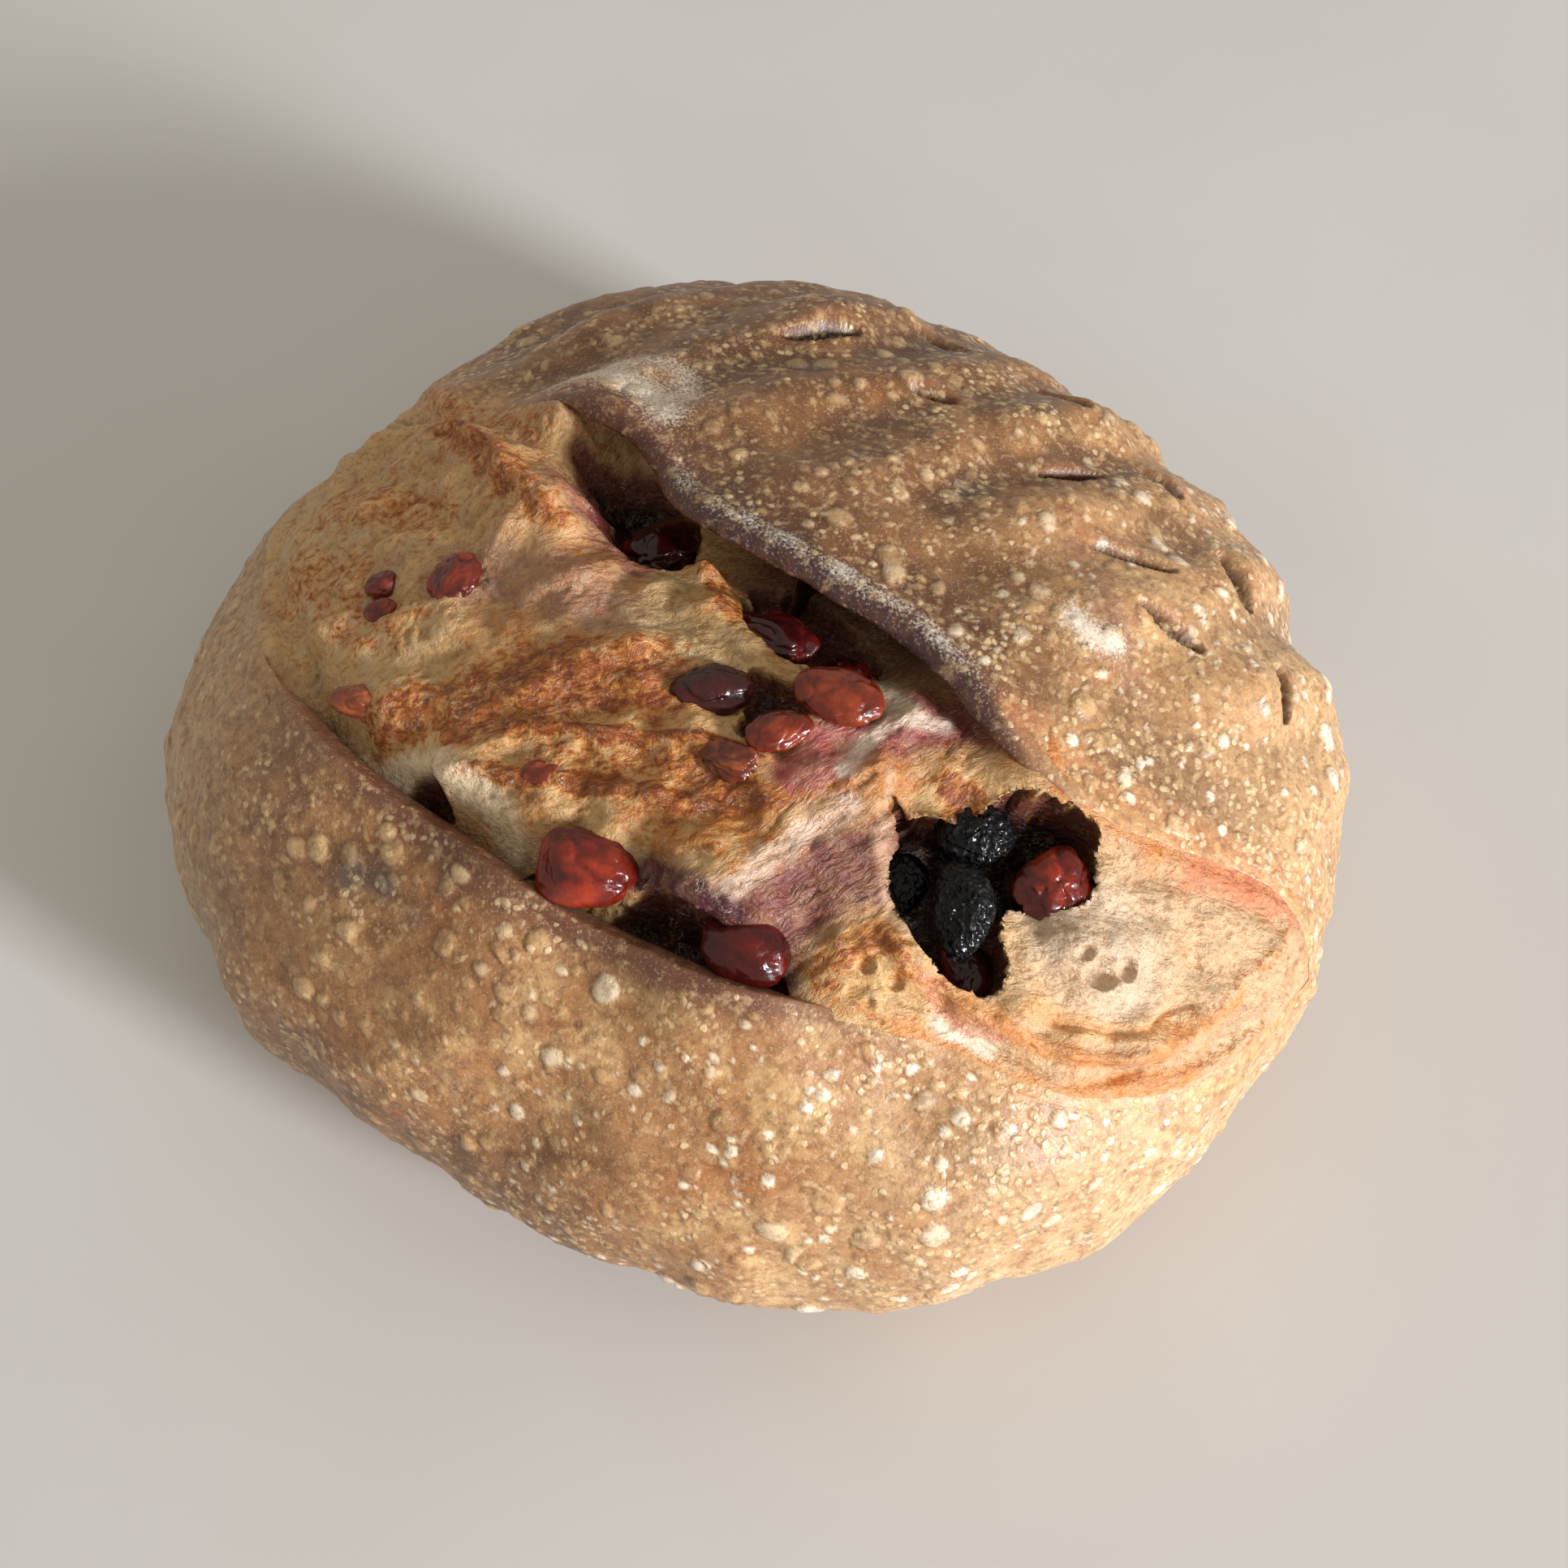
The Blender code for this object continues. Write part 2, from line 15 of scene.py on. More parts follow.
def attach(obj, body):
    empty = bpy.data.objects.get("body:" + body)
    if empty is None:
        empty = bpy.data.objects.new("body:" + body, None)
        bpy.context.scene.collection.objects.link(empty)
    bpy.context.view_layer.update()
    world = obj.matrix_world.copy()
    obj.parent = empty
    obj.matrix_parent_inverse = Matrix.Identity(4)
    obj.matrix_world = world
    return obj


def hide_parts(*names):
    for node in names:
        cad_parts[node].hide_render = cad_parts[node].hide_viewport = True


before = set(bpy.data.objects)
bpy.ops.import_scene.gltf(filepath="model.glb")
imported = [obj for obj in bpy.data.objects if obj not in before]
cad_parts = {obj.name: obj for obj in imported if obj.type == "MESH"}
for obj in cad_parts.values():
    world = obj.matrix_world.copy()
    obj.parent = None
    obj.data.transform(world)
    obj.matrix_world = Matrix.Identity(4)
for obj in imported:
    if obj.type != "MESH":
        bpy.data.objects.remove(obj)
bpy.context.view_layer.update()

MM = 0.001

# The dome without its relief
CROWN_HEIGHT = 77
WAIST_HEIGHT = 27
FOOT_CUT = 4
UPPER_FULLNESS = 2.2
LOWER_FULLNESS = 2.7
MEAN_RADIUS = 87.8
OUTLINE_WAVES = ((1.5, -0.4), (1.9, -2.6), (-1.6, -1.6), (1.6, 1.1))

# The slash
SLASH_TURN = math.radians(-30)
LEFT_TIP = (-87, 27)
RIGHT_TIP = (103, 4)
NEAR_LIP = (
    (-91, 13), (-89, -4), (-76, -26), (-44, -47), (-4, -60), (24, -57), (48, -46), (74, -39), (92, -24),
)
FAR_LIP = ((-76, 21), (-62, 14), (-46, 13), (-26, 12), (-14, 4), (0, 2), (24, 0), (46, -7), (62, -5), (84, 5))
FAR_SIDE_LIFT = 3.0
EAR_LIFT = 3.5
NEAR_LIP_LIFT = 1.2
CRUMB_DROP = 2.0
# Stretches of the slash, as places along: where each starts, is whole, fades and ends
FAR_SIDE_STRETCH = (-86, -62, 46, 86)
EAR_STRETCH = (-52, -30, 30, 52)
NEAR_LIP_STRETCH = (-82, -58, 26, 42)
NEAR_GAP = (-62, -46, 30, 44)
EAR_GAP = (-41, -33, 36, 54)

# Leaf cuts in the far crust: along, across, length, turn in degrees, width
LEAF_CUTS = (
    (-18, 52, 15, 50, 2.6), (4, 50, 9, 18, 2.6), (29.5, 49, 13, 46, 2), (43, 36, 15, 25, 2),
    (52, 27, 13, 8, 2), (-4, 71, 11, 12, 2.2), (20, 68, 11, -12, 2.4), (41, 61.5, 9, -25, 3.4),
    (58, 49, 11, -39, 4.4), (71, 33, 10, -52, 2.2),
)
FOLD_START = -14
FOLD_SPACING = 20.5  # between the soft folds that the cuts leave in the crust
CUT_DEPTH = 3.2

# Looks of the cranberries: how uneven, how deeply creased, darkest and brightest sRGB colour
DARK = (0.07, 0.12, (36, 8, 10), (96, 22, 18))
SMALL_RED = (0.08, 0.12, (92, 28, 20), (150, 56, 34))
BRIGHT_RED = (0.07, 0.12, (56, 8, 8), (146, 40, 18))
PALE = (0.05, 0.08, (94, 26, 12), (156, 62, 30))
# Each fruit: name, along, across, rise of its centre over the crumb, three sizes, turn, tilt, looks
CRANBERRIES = (
    ("cranberry_far_pocket", -20, 5, -3.4, 13.5, 10.5, 8, 70, 10, DARK),
    ("cranberry_under_ear", 6, -5, -2.6, 12.5, 9, 7, 5, 0, DARK),
    ("cranberry_under_ear_deep", 19, -4.5, -3.2, 10.5, 8, 6.5, -10, 0, DARK),
    ("cranberry_dark", 5.5, -20.5, -1.6, 11, 8, 7, 40, 10, (0.07, 0.1, (38, 10, 12), (84, 22, 20))),
    ("cranberry_flat", 20, -12, 2.4, 12.5, 9, 4.6, 15, 0, PALE),
    ("cranberry_skin", 16.5, -21, 1.8, 9, 6, 3, 55, 0, PALE),
    ("cranberry_buried", 13.5, -29, 0.2, 9.5, 5, 4, 12, 0, (0.1, 0.14, (84, 32, 18), (150, 78, 42))),
    ("cranberry_near_left", 2, -53.5, 0.8, 15, 11, 9, 22, 0, (0.06, 0.08, (84, 14, 9), (158, 50, 26))),
    ("cranberry_near_right", 28, -49.5, -0.2, 12.5, 9.5, 8.5, 20, 0, (0.05, 0.05, (52, 5, 6), (112, 18, 12))),
    ("cranberry_hollow_right", 56.5, -17, -3.4, 12.5, 10, 7.5, 75, 0, BRIGHT_RED),
    ("cranberry_hollow_floor", 54, -33.5, -7.8, 12, 7, 5, -30, 0, DARK),
    ("cranberry_left_large", -36.5, -19, 0.7, 9, 7.6, 5, 110, 0, SMALL_RED),
    ("cranberry_left_upper", -47.5, -23, 0.3, 5.2, 4.2, 3.4, 60, 0, SMALL_RED),
    ("cranberry_left_lower", -44.5, -27, 0.3, 5.4, 4.6, 3.4, 20, 0, SMALL_RED),
    ("cranberry_left_brown", -40, -40.5, 0.4, 8, 5, 3.6, 10, 0, (0.09, 0.1, (128, 56, 30), (172, 96, 58))),
    ("cranberry_speck", -10, -43.5, 0.2, 5.4, 3.4, 2.6, 25, 0, (0.09, 0.1, (110, 36, 20), (160, 68, 38))),
)
BLUEBERRY = (0.05, 0.1, (3, 3, 5), (13, 14, 20))
BLUEBERRIES = (
    ("blueberry_upper", 44.2, -16.6, -2.8, 10.5, 9.5, 7.5, 30, 0, BLUEBERRY),
    ("blueberry_lower", 47.8, -27.4, -2, 12.5, 9, 8, 115, 0, BLUEBERRY),
    ("blueberry_shadow", 39.3, -27.6, -8.6, 9, 7.5, 6.5, 90, 0, BLUEBERRY),
)

# How fine the meshes are
LIP_COLUMNS = 720
CRUST_RINGS = 210
BED_RINGS = 3
CRUMB_COLUMNS = 600
CRUMB_ROWS = 160
FRUIT_COLUMNS = 96
FRUIT_ROWS = 60
BED_DEPTH = 18.5
CRUMB_BASE = 17.5

# How closely lines on the map are followed
SPLINE_STEPS = 40
LIP_POINTS = 400
STROKE_POINTS = 60
OUTLINE_POINTS = 300
CHUNK = 8000  # places looked up at a time
FAR_OFF = 9.0  # more cells than any gap

# Camera
VIEW_ANGLE = math.radians(36)
VIEW_HEIGHT = math.radians(58)
VIEW_DISTANCE = 0.372
VIEW_TARGET = (0.0045, -0.0085, 0.035)

# Light
KEY_SIDE = math.radians(37)
KEY_HEIGHT = math.radians(16.5)
KEY_DISTANCE = 3.0
KEY_SIZE = (0.45, 0.9)
KEY_POWER = 138
KEY_COLOUR = (0.95, 0.96, 1)
FILL_COLOUR = (1, 0.955, 0.85, 1)
FILL_STRENGTH = 0.5


def smooth_step(value, low, high):
    """0 below low, 1 above high, and an S-shaped rise between them."""
    share = np.clip((np.asarray(value, float) - low) / (high - low), 0, 1)
    return share * share * (3 - 2 * share)


def stretch(value, start, whole, fade, end):
    """1 from whole to fade, and 0 before the start and after the end."""
    return smooth_step(value, start, whole) * (1 - smooth_step(value, fade, end))


def bump(value, centre, reach):
    """A bell that is 1 at the centre and falls to 0.37 at the reach."""
    return np.exp(-(((np.asarray(value, float) - centre) / reach) ** 2))


def cap(distance, reach):
    """A round cap: 1 at its middle and 0 from the reach on."""
    return np.clip(1 - (distance / reach) ** 2, 0, 1)


def turned(place, along, across, degrees):
    """Lengthwise and crosswise distances on the map from a spot, for a line turned by so many degrees."""
    turn = math.radians(degrees)
    off_along, off_across = place[..., 0] - along, place[..., 1] - across
    lengthwise = off_along * math.cos(turn) + off_across * math.sin(turn)
    return lengthwise, off_across * math.cos(turn) - off_along * math.sin(turn)


def band(place, along, across, reach_along, reach_across, slant):
    """A long bell on the map, turned by a slant in degrees from the way of the slash."""
    lengthwise, crosswise = turned(place, along, across, slant)
    return bump(lengthwise, 0, reach_along) * bump(crosswise, 0, reach_across)


def spline(points, count):
    """Points at even spacing on a smooth curve through the given ones (Catmull-Rom)."""
    knots = np.array(points, float)
    padded = np.vstack([2 * knots[0] - knots[1], knots, 2 * knots[-1] - knots[-2]])
    before, start, end, after = (padded[first : len(knots) - 1 + first, None] for first in range(4))
    t = np.linspace(0, 1, SPLINE_STEPS, endpoint=False)[:, None]
    fine = 0.5 * (2 * start + (end - before) * t + (2 * before - 5 * start + 4 * end - after) * t**2
                  + (3 * start - before - 3 * end + after) * t**3)
    fine = np.vstack([fine.reshape(-1, knots.shape[1]), knots[-1:]])
    travelled = np.concatenate([[0], np.cumsum(np.linalg.norm(np.diff(fine, axis=0), axis=1))])
    wanted = np.linspace(0, travelled[-1], count)
    return np.stack([np.interp(wanted, travelled, values) for values in fine.T], axis=-1)


def ripple(points, wavelength, seed, waves=14):
    """Smooth noise of about unit size: a sum of sine waves in random directions."""
    rng = np.random.default_rng(seed)
    directions = rng.normal(size=(waves, points.shape[-1]))
    directions /= np.linalg.norm(directions, axis=1, keepdims=True)
    lengths = wavelength * rng.uniform(0.7, 1.5, size=waves)
    phases = rng.uniform(0, 2 * math.pi, size=waves)
    total = np.sin(points @ (directions / lengths[:, None]).T * 2 * math.pi + phases)
    return total.sum(axis=-1) * math.sqrt(2 / waves)


def dome_profile(polar):
    """Share of the outline's radius, and height, for a direction measured down from the crown."""
    cosine, sine = np.cos(polar), np.abs(np.sin(polar))
    upper = cosine >= 0
    fullness = np.where(upper, UPPER_FULLNESS, LOWER_FULLNESS)
    reach = (sine**fullness + np.abs(cosine) ** fullness) ** (-1 / fullness)
    rise = np.abs(cosine) * reach * np.where(upper, CROWN_HEIGHT - WAIST_HEIGHT, -WAIST_HEIGHT - FOOT_CUT)
    return sine * reach, WAIST_HEIGHT + rise


def arc_table():
    """Directions from the crown down to the foot, and the length over the dome to each."""
    polar = np.linspace(0, math.pi, 4001)
    share, height = dome_profile(polar)
    foot = int(np.argmax((height < 0) & (polar > math.pi / 2)))
    steps = np.hypot(np.diff(share[: foot + 1] * MEAN_RADIUS), np.diff(height[: foot + 1]))
    return polar[: foot + 1], np.concatenate([[0], np.cumsum(steps)])


POLAR, ARC = arc_table()
FOOT_REACH = float(ARC[-1])


def bare_dome(along, across):
    """The dome's surface at a place on the crust map."""
    east = along * math.cos(SLASH_TURN) - across * math.sin(SLASH_TURN)
    north = along * math.sin(SLASH_TURN) + across * math.cos(SLASH_TURN)
    angle, reach = np.arctan2(north, east), np.hypot(east, north)
    share, height = dome_profile(np.interp(reach, ARC, POLAR))
    radius = MEAN_RADIUS
    for wave, (cosine_size, sine_size) in enumerate(OUTLINE_WAVES, start=1):
        radius = radius + cosine_size * np.cos(wave * angle) + sine_size * np.sin(wave * angle)
    height = np.where(reach >= FOOT_REACH - 0.01, 0, height)
    return np.stack([radius * share * np.cos(angle), radius * share * np.sin(angle), height], axis=-1)


def dome_frame(along, across):
    """Point, direction along, direction across and outward normal at places on the crust map."""
    step = 0.5
    to_right = bare_dome(along + step, across) - bare_dome(along - step, across)
    to_far = bare_dome(along, across + step) - bare_dome(along, across - step)
    normal = np.cross(to_right, to_far)
    normal /= np.linalg.norm(normal, axis=-1, keepdims=True)
    to_right /= np.linalg.norm(to_right, axis=-1, keepdims=True)
    return bare_dome(along, across), to_right, np.cross(normal, to_right), normal


def lifted(place, height):
    """Points over the dome at places on the map, at a height along its normal."""
    point, _, _, normal = dome_frame(place[..., 0], place[..., 1])
    return point + normal * height[..., None]


def nearest(place, line):
    """Distance on the map from each place to the nearest point of a line, and which point that is."""
    flat = place.reshape(-1, 2)
    which = np.empty(len(flat), int)
    for start in range(0, len(flat), CHUNK):
        part = slice(start, start + CHUNK)
        which[part] = ((line**2).sum(-1) - 2 * flat[part] @ line.T).argmin(1)
    gap = np.linalg.norm(flat - line[which], axis=-1)
    return gap.reshape(place.shape[:-1]), which.reshape(place.shape[:-1])


def lip_line(lip, count):
    """Points along a lip of the slash from its left tip to its right one."""
    return spline((LEFT_TIP,) + lip + (RIGHT_TIP,), count)


def lip_gaps(place):
    """Distances on the map to the near and to the far lip."""
    return [nearest(place, lip_line(lip, LIP_POINTS))[0] for lip in (NEAR_LIP, FAR_LIP)]


def crust_waves(place):
    """Soft unevenness of the crust: folds between the leaf cuts, and shallow dents all over."""
    along, across = place[..., 0], place[..., 1]
    reach = np.hypot(along, across)
    on_far_side = smooth_step(across, 8, 30) * (1 - smooth_step(reach, 95, 120))
    folds = np.sin(2 * math.pi * ((along - FOLD_START) / FOLD_SPACING - across * 0.025))
    above_foot = 1 - smooth_step(reach, FOOT_REACH - 40, FOOT_REACH - 6)
    dents = 0.6 * ripple(place, 34, 3) + 0.15 * ripple(place, 14, 5)
    return 0.9 * on_far_side * folds + above_foot * dents


def crust_relief(place):
    """Height of the crust over the bare dome: its unevenness, and the swollen lips of the slash."""
    along = place[..., 0]
    near_gap, far_gap = lip_gaps(place)
    far_side = stretch(along, *FAR_SIDE_STRETCH) * FAR_SIDE_LIFT * np.exp(-far_gap / 30)
    ear = stretch(along, *EAR_STRETCH) * EAR_LIFT * np.exp(-far_gap / 12)
    near_side = stretch(along, *NEAR_LIP_STRETCH) * NEAR_LIP_LIFT * np.exp(-near_gap / 9)
    return crust_waves(place) + np.where(far_gap < near_gap, far_side + ear, near_side)


def openness(place):
    """How far the slash is open at a place, from 0 at its two tips to 1."""
    gaps = (np.linalg.norm(place - np.array(tip), axis=-1) for tip in (LEFT_TIP, RIGHT_TIP))
    return math.prod(smooth_step(gap, 1, 15) for gap in gaps)


# The broad toasted ridges of the crumb: along, across, reach along, reach across, slant in degrees, height
CRUMB_RIDGES = (
    (-12, -25, 15, 4, 55, 1.3), (2, -31, 22, 3.5, 20, 1.4), (2, -41, 24, 4, 22, 1.6),
    (-38, -3, 24, 6, -16, 3), (24, -27, 7, 14, 14, 2.4), (19, -47, 8, 5, 5, 2.6),
    (64, -42, 22, 2.6, 14, 1), (74, -33, 22, 2.6, 26, 0.9),
)


def crumb_relief(place):
    """Height of the torn crumb over the bare dome, in the broad form that the part's source gives it."""
    along = place[..., 0]
    near_gap, far_gap = lip_gaps(place)
    fade = smooth_step(np.minimum(near_gap, far_gap), 0, 9)
    height = -CRUMB_DROP + fade * 2.6 + (1 - fade) * crust_waves(place)
    height = height - 3.6 * stretch(along, *NEAR_LIP_STRETCH) * bump(near_gap, 0, 6.5)
    height = height - 5.5 * stretch(along, *EAR_STRETCH) * bump(far_gap, 0, 8)
    for *ridge, rise in CRUMB_RIDGES:
        height = height + rise * fade * band(place, *ridge)
    height = height + fade * (0.55 * ripple(place, 15, 11) + 0.35 * ripple(place, 7, 13))
    share = openness(place)
    return share * height + (1 - share) * (crust_relief(place) - 0.5)


def scatter(cell, seed):
    """A repeatable random number from 0 to 1 for each whole-number cell."""
    code = (cell[..., 0] * 73856093) ^ (cell[..., 1] * 19349663) ^ (cell[..., 2] * 83492791)
    code = code ^ (seed * 7919 + 17)
    code = ((code ^ (code >> 13)) & 0xFFFFFFFF) * 1274126177 & 0xFFFFFFFF
    code = ((code ^ (code >> 15)) & 0xFFFFFFFF) * 668265263 & 0xFFFFFFFF
    return ((code ^ (code >> 14)) & 0xFFFFFF) / float(0x1000000)


def scattered(cell, seed):
    """Three such numbers for each cell."""
    return np.stack([scatter(cell, seed + axis) for axis in range(3)], axis=-1)


GRADIENTS = np.random.default_rng(1).normal(size=(512, 3))
GRADIENTS /= np.linalg.norm(GRADIENTS, axis=1, keepdims=True)
NEIGHBOURS = np.stack(np.meshgrid(*[(-1, 0, 1)] * 3), axis=-1).reshape(-1, 3)


def cells_of(points, size):
    """Points as shares of a cell, with a third coordinate of nought where they have two, and their cells."""
    missing = np.zeros(points.shape[:-1] + (3 - points.shape[-1],))
    spot = np.concatenate([points, missing], axis=-1) / size
    return spot, np.floor(spot).astype(np.int64)


def noise(points, size, seed):
    """Gradient noise of about -1 to 1: slopes at the corners of a cubic lattice, blended smoothly."""
    spot, base = cells_of(points + 0.37 * size, size)
    part = spot - base
    ease = part**3 * (part * (part * 6 - 15) + 10)
    total = 0
    for corner in np.ndindex(2, 2, 2):
        corner = np.array(corner)
        slope = GRADIENTS[(scatter(base + corner, seed) * len(GRADIENTS)).astype(int)]
        weight = np.where(corner == 1, ease, 1 - ease).prod(-1)
        total = total + weight * (slope * (part - corner)).sum(-1)
    return total * 1.6


def rough(points, size, octaves, seed):
    """Noise over noise, each layer half the size and half the height of the one before."""
    return sum(noise(points, size / 2**layer, seed + layer) / 2**layer for layer in range(octaves))


def teased(points, size, reach, seed):
    """Points shifted by noise, so that what is drawn there looks pulled about."""
    shift = [noise(points, size, seed + axis) for axis in range(points.shape[-1])]
    return points + reach * np.stack(shift, axis=-1)


def bubbles(points, size, smallest, largest, amount, seed):
    """Round caps, one at most in each cell: height over its base, cover, and a random tone."""
    spot, base = cells_of(points, size)
    height, cover, tone = (np.zeros(spot.shape[:-1]) for _ in range(3))
    for offset in NEIGHBOURS:
        cell = base + offset
        centre = cell + 0.15 + 0.7 * scattered(cell, seed)
        radius = smallest + (largest - smallest) * scatter(cell, seed + 3) ** 2
        share = cap(size * np.linalg.norm(spot - centre, axis=-1), radius)
        share = share * (scatter(cell, seed + 4) < amount)
        higher = radius * share**0.8 > height
        height = np.where(higher, radius * share**0.8, height)
        cover = np.where(higher, share, cover)
        tone = np.where(higher, scatter(cell, seed + 5), tone)
    return height, cover, tone


def cell_walls(points, size, seed):
    """Distances to the nearest and second nearest of random points, one in each cell, in cells."""
    spot, base = cells_of(points, size)
    first, second = (np.full(spot.shape[:-1], FAR_OFF) for _ in range(2))
    for offset in NEIGHBOURS:
        cell = base + offset
        centre = cell + scattered(cell, seed)
        gap = np.linalg.norm(spot - centre, axis=-1)
        second = np.minimum(second, np.maximum(first, gap))
        first = np.minimum(first, gap)
    return first, second


def stroke(place, points, width):
    """A soft line on the map: 1 on a smooth curve through the points, falling off over the width."""
    return bump(nearest(place, spline(points, STROKE_POINTS))[0], 0, width)


def full_stroke(place, points, width):
    """A soft line that is whole over its middle."""
    return np.clip(1.7 * stroke(place, points, width), 0, 1)


def round_gap(place, along, across):
    """Distance on the map from a spot."""
    return np.hypot(place[..., 0] - along, place[..., 1] - across)


def outward(curve, sign):
    """Unit direction on the map to the left of a curve, or to its right where the sign is -1."""
    tangent = np.gradient(curve, axis=0)
    tangent /= np.linalg.norm(tangent, axis=1, keepdims=True)
    return sign * np.stack([-tangent[:, 1], tangent[:, 0]], axis=-1)


def inside_depth(place, corners):
    """Distance inside a smooth closed outline on the map, below nought outside, and the way to its edge."""
    ring = spline(corners[-2:] + corners + corners[:2], OUTLINE_POINTS)
    area = (ring[:-1, 0] * ring[1:, 1] - ring[1:, 0] * ring[:-1, 1]).sum()
    gap, which = nearest(place, ring)
    toward = ring[which] - place
    inside = (toward * outward(ring, -np.sign(area))[which]).sum(-1) > 0
    return np.where(inside, gap, -gap), toward / np.maximum(gap, 1e-6)[..., None]


def paint(red, green, blue):
    """Linear colour from sRGB numbers of 0 to 255."""
    value = np.array([red, green, blue]) / 255
    return np.where(value <= 0.04045, value / 12.92, ((value + 0.055) / 1.055) ** 2.4)


def layers(tint, *coats):
    """Lays colours in sRGB numbers over a linear tint, each by a share from 0 to 1."""
    for colour, share in coats:
        tint = tint + (paint(*colour) - tint) * np.clip(share, 0, 1)[..., None]
    return tint


def even_out(values, reach):
    """Each value round a loop averaged with its neighbours."""
    kernel = np.hanning(2 * reach + 3)[1:-1]
    kernel /= kernel.sum()
    wrapped = np.concatenate([values[-reach:], values, values[:reach]])
    return np.apply_along_axis(np.convolve, 0, wrapped, kernel, "valid")


def lip_loop():
    """The closed lip, its outward directions, the line down the middle, and the foot ring's places."""
    near, far = lip_line(NEAR_LIP, LIP_COLUMNS + 1), lip_line(FAR_LIP, LIP_COLUMNS + 1)
    lip = np.vstack([near[:-1], far[:0:-1]])
    away = even_out(np.vstack([outward(near, -1)[:-1], outward(far, 1)[:0:-1]]), 50)
    away /= np.linalg.norm(away, axis=1, keepdims=True)
    middle = (near + far) / 2
    aim = lip + away * 40
    even = np.arange(len(lip)) * 2 * math.pi / len(lip)
    swing = even + even_out((np.unwrap(np.arctan2(aim[:, 1], aim[:, 0])) - even)[:, None], 240)[:, 0]
    foot = FOOT_REACH * np.stack([np.cos(swing), np.sin(swing)], axis=-1)
    return lip, away, np.vstack([middle[:-1], middle[:0:-1]]), foot


# Sections of the rim from deep inside the slash up to the crust: offset outwards from the lip, and height
EAR_SECTION = (
    (8, -25), (8, -8), (7.5, -6), (5, -4.7), (2.5, -3.9), (0.2, -3.2), (-0.9, -2.7), (-1.3, -2.25),
    (-1.2, -1.8), (-0.9, -1.3), (-0.5, -0.8), (0.1, -0.4), (0.6, -0.05), (1.2, 0.12), (2, 0.06), (3, 0),
)
NEAR_SECTION = (
    (1, -18), (0.2, -11), (-0.6, -7), (-1.2, -5.2), (-1.5, -4.4), (-1.5, -3.6), (-1.35, -2.8), (-1.1, -2),
    (-0.9, -1.3), (-0.7, -0.7), (-0.5, -0.1), (-0.3, 0.25), (0, 0.35), (0.5, 0.3), (1, 0.15), (1.6, 0),
)
FLUSH_SECTION = (
    (1.4, -18), (1.3, -9), (1.2, -5), (1.1, -3.4), (1, -2.6), (0.8, -2.1), (0.6, -1.7), (0.3, -1.3),
    (0, -1), (-0.2, -0.8), (-0.3, -0.6), (-0.3, -0.4), (-0.1, -0.2), (0.3, -0.1), (0.9, -0.03), (1.7, 0),
)
EAR_FACE = (7, 12)  # rings on the front face of the ear


def cut_grooves(place):
    """Depth of the leaf cuts, the fold raised beside each, and how far a place lies in one, the share by
    which painted shade darkens it.

    Across a cut the groove is a rounded V as wide as a lens of the cut's length, and its far edge is
    raised into a soft fold.
    """
    depth, fold, cut_shade_share = (np.zeros(place.shape[:-1]) for _ in range(3))
    wander = 0.5 * noise(place, 7, 91)
    for along, across, length, turn, width in LEAF_CUTS:
        lengthwise, crosswise = turned(place, along, across, turn)
        crosswise = crosswise + wander
        half = 0.5 * width * cap(lengthwise, length / 2)
        share = np.clip(1 - np.abs(crosswise) / (half + 0.5), 0, 1) * smooth_step(half, 0.05, 0.5)
        depth = np.maximum(depth, CUT_DEPTH * min(1, width / 2.4) * smooth_step(share, 0, 0.8))
        cut_shade_share = np.maximum(cut_shade_share, smooth_step(share, 0.05, 0.5))
        fold = np.maximum(fold, bump(lengthwise, 0, 0.5 * length) * bump(crosswise, half + 1.6, 1.6))
    return depth, fold, cut_shade_share


# Tones on the crust: points of a soft stroke, half width, sRGB colour, strength, 1 for the far side
CRUST_STROKES = (
    (((-24, 15), (-10, 10), (6, 9), (22, 7), (38, 3)), 6.5, (98, 58, 32), 0.85, 1),
    (((-50, 17), (-36, 17), (-24, 13), (-12, 7)), 1.6, (132, 76, 60), 0.8, 1),
    (((-14, 7), (-4, 5), (6, 4)), 3, (58, 36, 30), 0.95, 1),
    (((4, 3), (20, 2), (36, -3)), 1.3, (54, 34, 38), 0.9, 1),
    (((-14, -62), (-3, -62.5), (16, -61), (32, -55)), 3, (104, 60, 46), 0.85, 0),
    (((40, -2), (53, -2), (64, 0), (78, 5), (92, 12)), 2.6, (206, 136, 90), 0.6, 1),
    (((-34, 36), (-8, 31), (14, 25), (32, 17)), 4.5, (104, 64, 32), 0.7, 1),
    (((-24, 62), (0, 60), (20, 58), (36, 50)), 4.5, (102, 66, 36), 0.7, 1),
    (((36, 30), (46, 19), (52, 14)), 3, (146, 104, 92), 0.6, 1),
)
# Blue-grey where a berry shows through the skin: along, across, reach
INK_SPOTS = (
    (-31, -66, 3), (-25, -66, 2.6), (-19, -70, 2.2), (-66, -82, 3.5), (19, 32, 2.6), (3, 26, 2.6),
    (-14, 43, 2.4),
)
FLOUR_STROKES = (
    (((-46, 20), (-38, 22), (-30, 21), (-25, 18)), 3.6, 0.85),
    (((-40, 27), (-30, 29), (-24, 24)), 2.6, 0.6),
    (((40, 17), (43, 16), (46, 17)), 2.2, 1),
)


